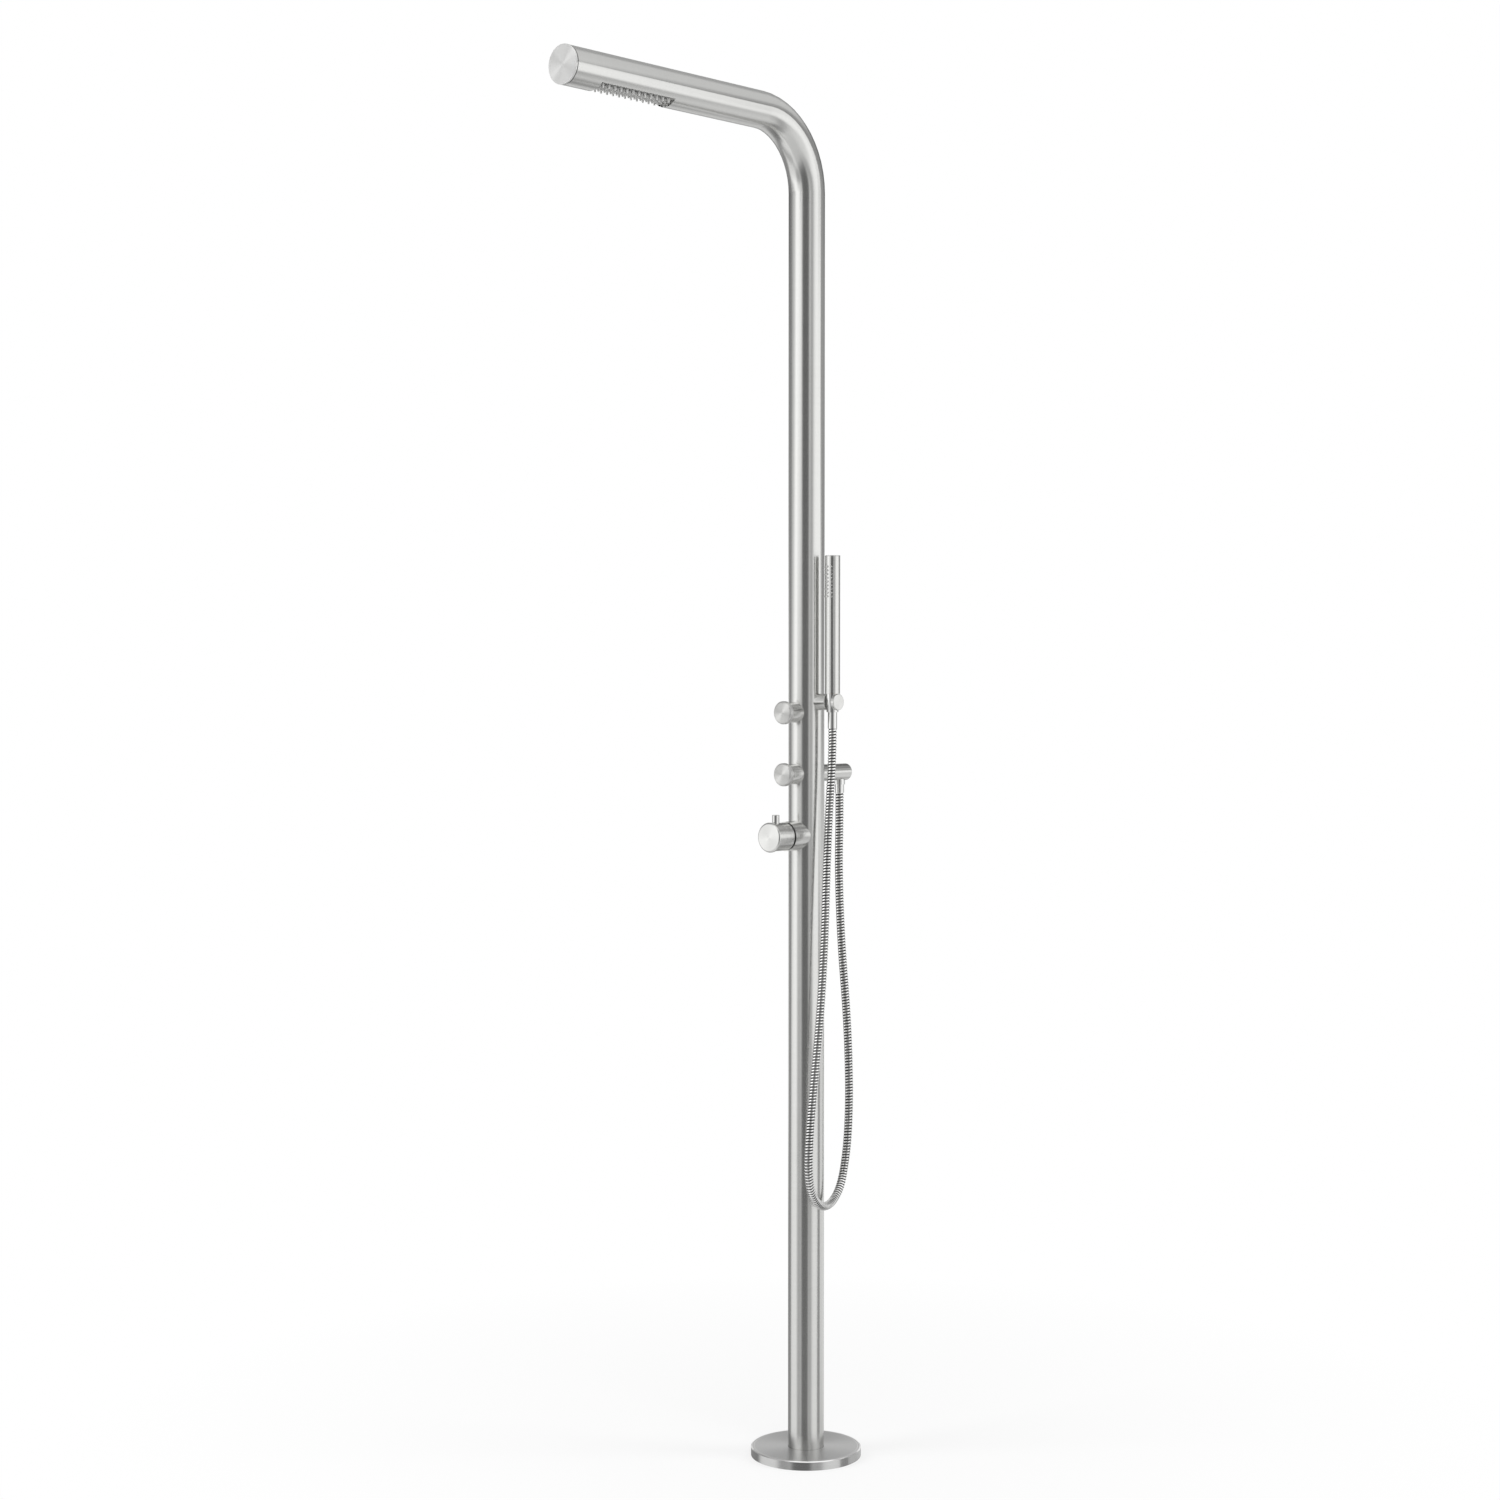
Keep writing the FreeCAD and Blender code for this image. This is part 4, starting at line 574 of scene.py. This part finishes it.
def dress():
    """A material for every CAD node that shows."""
    looks = {
        # the post tube gets a painted shadow at its seam with the arm's cap
        "post_tube": brushed(
            "brushed_tube", STEEL, round_the_bend, roughness=0.22, shade=painted_seam_shadow),
        # the base cover gets a painted highlight on its bevel and fine ring
        "base_cover": brushed(
            "satin_cover", SATIN, turned("z", (0, 0, 0)), roughness=0.20, face=0.36,
            painted_highlight=painted_rim_highlight),
    }
    for node, name, colour, axis, centre, settings in BRUSHED:
        looks[node] = brushed(name, colour, turned(axis, middle(centre)), **settings)
    for material, nodes in plain_looks():
        for node in nodes:
            looks[node] = material
    for node, material in looks.items():
        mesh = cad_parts[node].data
        mesh.materials.clear()
        mesh.materials.append(material)
    missing = sorted(set(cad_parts) - set(looks) - {"hose"})
    if missing:
        raise ValueError("no look for " + ", ".join(missing))


# colour painted as shade in the hose's grooves
GROOVE_PAINTED_SHADE = (0.03, 0.03, 0.03)
STRIP_COLOUR = (0.92, 0.92, 0.91)


def hose_steel():
    """Bright strip; the grooves between its turns are coloured dark as painted shade."""
    look = Look("wound_hose_steel")
    clouds = look.noise(look.place, 40.0, 3.0, 0.5)
    groove = look.node("ShaderNodeAttribute", attribute_name="groove").outputs["Fac"]
    bright = look.math("SUBTRACT", look.math("MULTIPLY_ADD", clouds, 0.1, 0.95), groove)
    look.set(
        Base_Color=look.mixed(bright, GROOVE_PAINTED_SHADE, STRIP_COLOUR),
        Metallic=1.0,
        Roughness=look.ramp(clouds, 0.08, 0.13),
    )
    look.bump(look.noise(look.place, 1200.0, 2.0, 0.5), 0.1, 0.00003)
    return look.material


# ---- studio ----------------------------------------------------------------------------------

SHELL_HEIGHT = 1.2            # height of the centre of both shells
SHELL_STEP = 2.0              # size of a shell's faces in degrees
MOST_LEAN = 15.0              # most that a leaning zone moves, in degrees
# What polished metal sees round it: soft-edged zones on a shell. Each has its two edges as angles
# seen from the post, 0 towards the camera and positive to its right, its lowest and highest
# elevation from the shell's centre, the widths of its soft edges at the sides and at top and
# bottom, and its brightness. A leaning zone moves sideways with its height, by that many degrees
# for each degree. All angles are in degrees.
FAR_SHELL = {
    "name": "studio_shell", "radius": 60.0, "level": 1.0,
    "sides": (-180, 180), "heights": (-90, 90),
    "zones": (
        # sides, heights, side edge, height edge, brightness, lean
        ((200, 262), (-30, 60), 18, 14, 0.32, 0.3),      # the dark end of the room
        ((-100, -48), (-60, 60), 18, 18, 0.93, 1.2),     # left soft box, its light on the floor
        ((-100, -48), (-9, 60), 18, 12, 1.42, 1.2),
        ((-175, -92), (-4, 60), 16, 8, 0.62, 1.5),
        ((-175, -116), (-4, 60), 14, 8, 0.28, 1.0),
        ((-175, -121), (-30, -6), 14, 8, 0.30, 0.0),
        ((44, 94), (-60, 40), 18, 18, 0.92, 1.2),        # right soft box, its light on the floor
        ((44, 110), (-9, 26), 18, 12, 1.26, 1.2),
        ((-62, -34), (-30, -1), 16, 12, 0.42, 0.0),
        ((-130, -60), (44, 75), 14, 14, 0.36, 0.0),      # above and below the box on the left
        ((-130, -60), (-54, -34), 14, 12, 0.55, 0.0),
        ((-45, 60), (-90, -38), 20, 20, 0.74, 0.0),      # the floor in front
        ((-31, 14), (-34, 45), 12, 26, 0.16, 0.1),       # flag beside the camera
        ((18, 40), (-34, 45), 12, 26, 0.48, 0.35),
    ),
}
NEAR_SHELL = {
    "name": "studio_wall", "radius": 3.0, "level": 0.33,
    "sides": (74, 232), "heights": (-70, 76),
    "zones": (
        ((40, 106), (-8, 30), 20, 12, 1.26, 0.0),        # the right soft box goes on
        ((40, 78), (-90, -8), 14, 12, 0.92, 0.0),
        ((96, 160), (-40, -4), 10, 10, 0.86, 0.0),       # the pale floor on the right, further out
        ((60, 97), (-60, -22), 10, 8, 0.36, 0.0),
        ((150, 212), (-24, 6), 12, 10, 0.78, 0.0),       # a pale wall behind the post
        ((97, 140), (12, 24), 6, 6, 0.40, 0.0),
        ((70, 150), (30, 41), 9, 7, 0.30, 0.0),          # the dark gap above the soft box
        ((60, 148), (42, 90), 12, 8, 0.74, 0.0),
        ((148, 240), (42, 90), 12, 8, 0.44, 0.0),
        ((140, 240), (24, 41), 10, 8, 0.14, 0.0),
        ((120, 240), (-90, -42), 10, 8, 0.22, 0.0),
        ((40, 82), (24, 90), 10, 10, 0.95, 0.0),
    ),
}


def direction_at(angle, elevation=0.0):
    """Direction from the post, at an angle that is 0 towards the camera of the photograph."""
    turn = math.radians(CAMERA_AZIMUTH - 90 + angle)
    rise = math.radians(elevation)
    level = math.cos(rise)
    return Vector((math.cos(turn) * level, math.sin(turn) * level, math.sin(rise)))


def soft_step(value):
    value = min(max(value, 0.0), 1.0)
    return value * value * (3 - 2 * value)


def within(value, span, edge):
    """1 inside the span and 0 outside it, with soft edges centred on its ends."""
    rise = soft_step((value - span[0]) / edge + 0.5)
    fall = soft_step((span[1] - value) / edge + 0.5)
    return rise * fall


def brightness(shell, angle, elevation):
    """The shell's level with its zones laid over it, each over those before it."""
    level = shell["level"]
    for sides, heights, side_edge, height_edge, grey, lean in shell["zones"]:
        shift = min(max(elevation * lean, -MOST_LEAN), MOST_LEAN)
        first = sides[0] - side_edge
        turned = (angle - shift - first) % 360 + first
        share = within(turned, sides, side_edge) * within(elevation, heights, height_edge)
        level += (grey - level) * share
    return level


def make_shell(shell):
    """A shell that only mirror-like surfaces see, as the walls and flags of a photo studio."""
    first, last = shell["sides"]
    low, high = shell["heights"]
    columns = round((last - first) / SHELL_STEP)
    rows = round((high - low) / SHELL_STEP)
    vertices = []
    levels = []
    for row in range(rows + 1):
        elevation = low + (high - low) * row / rows
        for column in range(columns + 1):
            angle = first + (last - first) * column / columns
            vertices.append(direction_at(angle, elevation) * shell["radius"])
            levels.append(brightness(shell, angle, elevation))
    faces = []
    for row in range(rows):
        for column in range(columns):
            here = row * (columns + 1) + column
            above = here + columns + 1
            faces.append((here, here + 1, above + 1, above))
    mesh = bpy.data.meshes.new(shell["name"])
    mesh.from_pydata(vertices, [], faces)
    colours = mesh.attributes.new("level", "FLOAT_COLOR", "POINT")
    for place, level in zip(colours.data, levels):
        place.color = (level, level, level, 1)
    wall = bpy.data.objects.new(shell["name"], mesh)
    bpy.context.scene.collection.objects.link(wall)
    material = bpy.data.materials.new(shell["name"])
    material.use_nodes = True
    tree = material.node_tree
    tree.nodes.clear()
    level = tree.nodes.new("ShaderNodeAttribute")
    level.attribute_name = "level"
    light = tree.nodes.new("ShaderNodeEmission")
    tree.links.new(level.outputs["Color"], light.inputs["Color"])
    end = tree.nodes.new("ShaderNodeOutputMaterial")
    tree.links.new(light.outputs[0], end.inputs["Surface"])
    mesh.materials.append(material)
    wall.location.z = SHELL_HEIGHT
    wall.visible_camera = False
    wall.visible_diffuse = False
    wall.visible_transmission = False
    wall.visible_shadow = False


FLOOR_RADIUS = 9.0
FLOOR_WHITE_FROM = 1.3        # distance from which the camera sees it white
FLOOR_SHADED_TO = 0.2         # share of that distance up to which the shade is at its full
FLOOR_SHADE = 0.32            # how much of the floor's own look the camera sees there
FLOOR_GREY = 0.86
FLOOR_ROUGHNESS = 0.9
FLOOR_SIDES = 96


def floor_material():
    """Pale floor. The camera sees it white further out, and with the object's shadow near the
    foot."""
    material = bpy.data.materials.new("floor")
    material.use_nodes = True
    tree = material.node_tree
    shader = tree.nodes["Principled BSDF"]
    shader.inputs["Base Color"].default_value = (FLOOR_GREY, FLOOR_GREY, FLOOR_GREY, 1)
    shader.inputs["Roughness"].default_value = FLOOR_ROUGHNESS
    place = tree.nodes.new("ShaderNodeTexCoord")
    away = tree.nodes.new("ShaderNodeVectorMath")
    away.operation = "LENGTH"
    tree.links.new(place.outputs["Object"], away.inputs[0])
    fade = tree.nodes.new("ShaderNodeMapRange")
    tree.links.new(away.outputs["Value"], fade.inputs["Value"])
    fade.inputs["From Min"].default_value = FLOOR_WHITE_FROM * FLOOR_SHADED_TO
    fade.inputs["From Max"].default_value = FLOOR_WHITE_FROM
    fade.inputs["To Min"].default_value = 1 - FLOOR_SHADE
    fade.inputs["To Max"].default_value = 1.0
    rays = tree.nodes.new("ShaderNodeLightPath")
    seen = tree.nodes.new("ShaderNodeMath")
    seen.operation = "MAXIMUM"
    tree.links.new(rays.outputs["Is Camera Ray"], seen.inputs[0])
    tree.links.new(rays.outputs["Is Glossy Ray"], seen.inputs[1])
    share = tree.nodes.new("ShaderNodeMath")
    share.operation = "MULTIPLY"
    tree.links.new(seen.outputs[0], share.inputs[0])
    tree.links.new(fade.outputs["Result"], share.inputs[1])
    white = tree.nodes.new("ShaderNodeEmission")
    mix = tree.nodes.new("ShaderNodeMixShader")
    tree.links.new(share.outputs[0], mix.inputs["Fac"])
    tree.links.new(shader.outputs[0], mix.inputs[1])
    tree.links.new(white.outputs[0], mix.inputs[2])
    tree.links.new(mix.outputs[0], tree.nodes["Material Output"].inputs["Surface"])
    return material


def make_floor():
    turns = [2 * math.pi * i / FLOOR_SIDES for i in range(FLOOR_SIDES)]
    vertices = [(FLOOR_RADIUS * math.cos(t), FLOOR_RADIUS * math.sin(t), 0) for t in turns]
    floor = mesh_object("floor", vertices, [tuple(range(FLOOR_SIDES))], smooth=False)
    floor.data.materials.append(floor_material())
    floor.visible_glossy = False


WORLD_GREY = 0.55


def make_world():
    """White to the camera and in reflections, a soft grey light on everything else."""
    world = bpy.data.worlds.new("world")
    bpy.context.scene.world = world
    world.use_nodes = True
    tree = world.node_tree
    background = tree.nodes["Background"]
    rays = tree.nodes.new("ShaderNodeLightPath")
    seen = tree.nodes.new("ShaderNodeMath")
    seen.operation = "MAXIMUM"
    tree.links.new(rays.outputs["Is Camera Ray"], seen.inputs[0])
    glossy = tree.nodes.new("ShaderNodeMath")
    glossy.operation = "MAXIMUM"
    tree.links.new(rays.outputs["Is Glossy Ray"], glossy.inputs[0])
    tree.links.new(rays.outputs["Is Transmission Ray"], glossy.inputs[1])
    tree.links.new(glossy.outputs[0], seen.inputs[1])
    level = tree.nodes.new("ShaderNodeMapRange")
    tree.links.new(seen.outputs[0], level.inputs["Value"])
    level.inputs["To Min"].default_value = WORLD_GREY
    level.inputs["To Max"].default_value = 1.0
    tree.links.new(level.outputs["Result"], background.inputs["Strength"])
    background.inputs["Color"].default_value = (1, 1, 1, 1)


LAMP_DISTANCE = 3.0
LAMP_AIM = Vector((0, -0.1, 1.2))
# name, angle from the camera's side, height, width and height of its face, power
LAMPS = (
    ("lamp_left", -72, 2.2, (1.4, 3.0), 60),
    ("lamp_right", 82, 2.2, (1.0, 3.0), 45),
    ("lamp_top", 20, 4.0, (2.0, 2.0), 40),
)


def make_lamp(name, angle, height, size, power):
    data = bpy.data.lights.new(name, "AREA")
    data.shape = "RECTANGLE"
    data.size, data.size_y = size
    data.energy = power
    lamp = bpy.data.objects.new(name, data)
    lamp.location = direction_at(angle) * LAMP_DISTANCE + Vector((0, 0, height))
    aim = LAMP_AIM - lamp.location
    lamp.rotation_mode = "QUATERNION"
    lamp.rotation_quaternion = aim.to_track_quat("-Z", "Y")
    lamp.visible_glossy = False
    bpy.context.scene.collection.objects.link(lamp)


# ---- scene -----------------------------------------------------------------------------------

make_camera()
hose, hose_path = make_hose()
hose.data.materials.append(hose_steel())
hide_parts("hose")
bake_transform(hose)
dress()
make_world()
make_floor()
make_shell(FAR_SHELL)
make_shell(NEAR_SHELL)
for lamp in LAMPS:
    make_lamp(*lamp)
bpy.context.scene.view_settings.view_transform = "Standard"
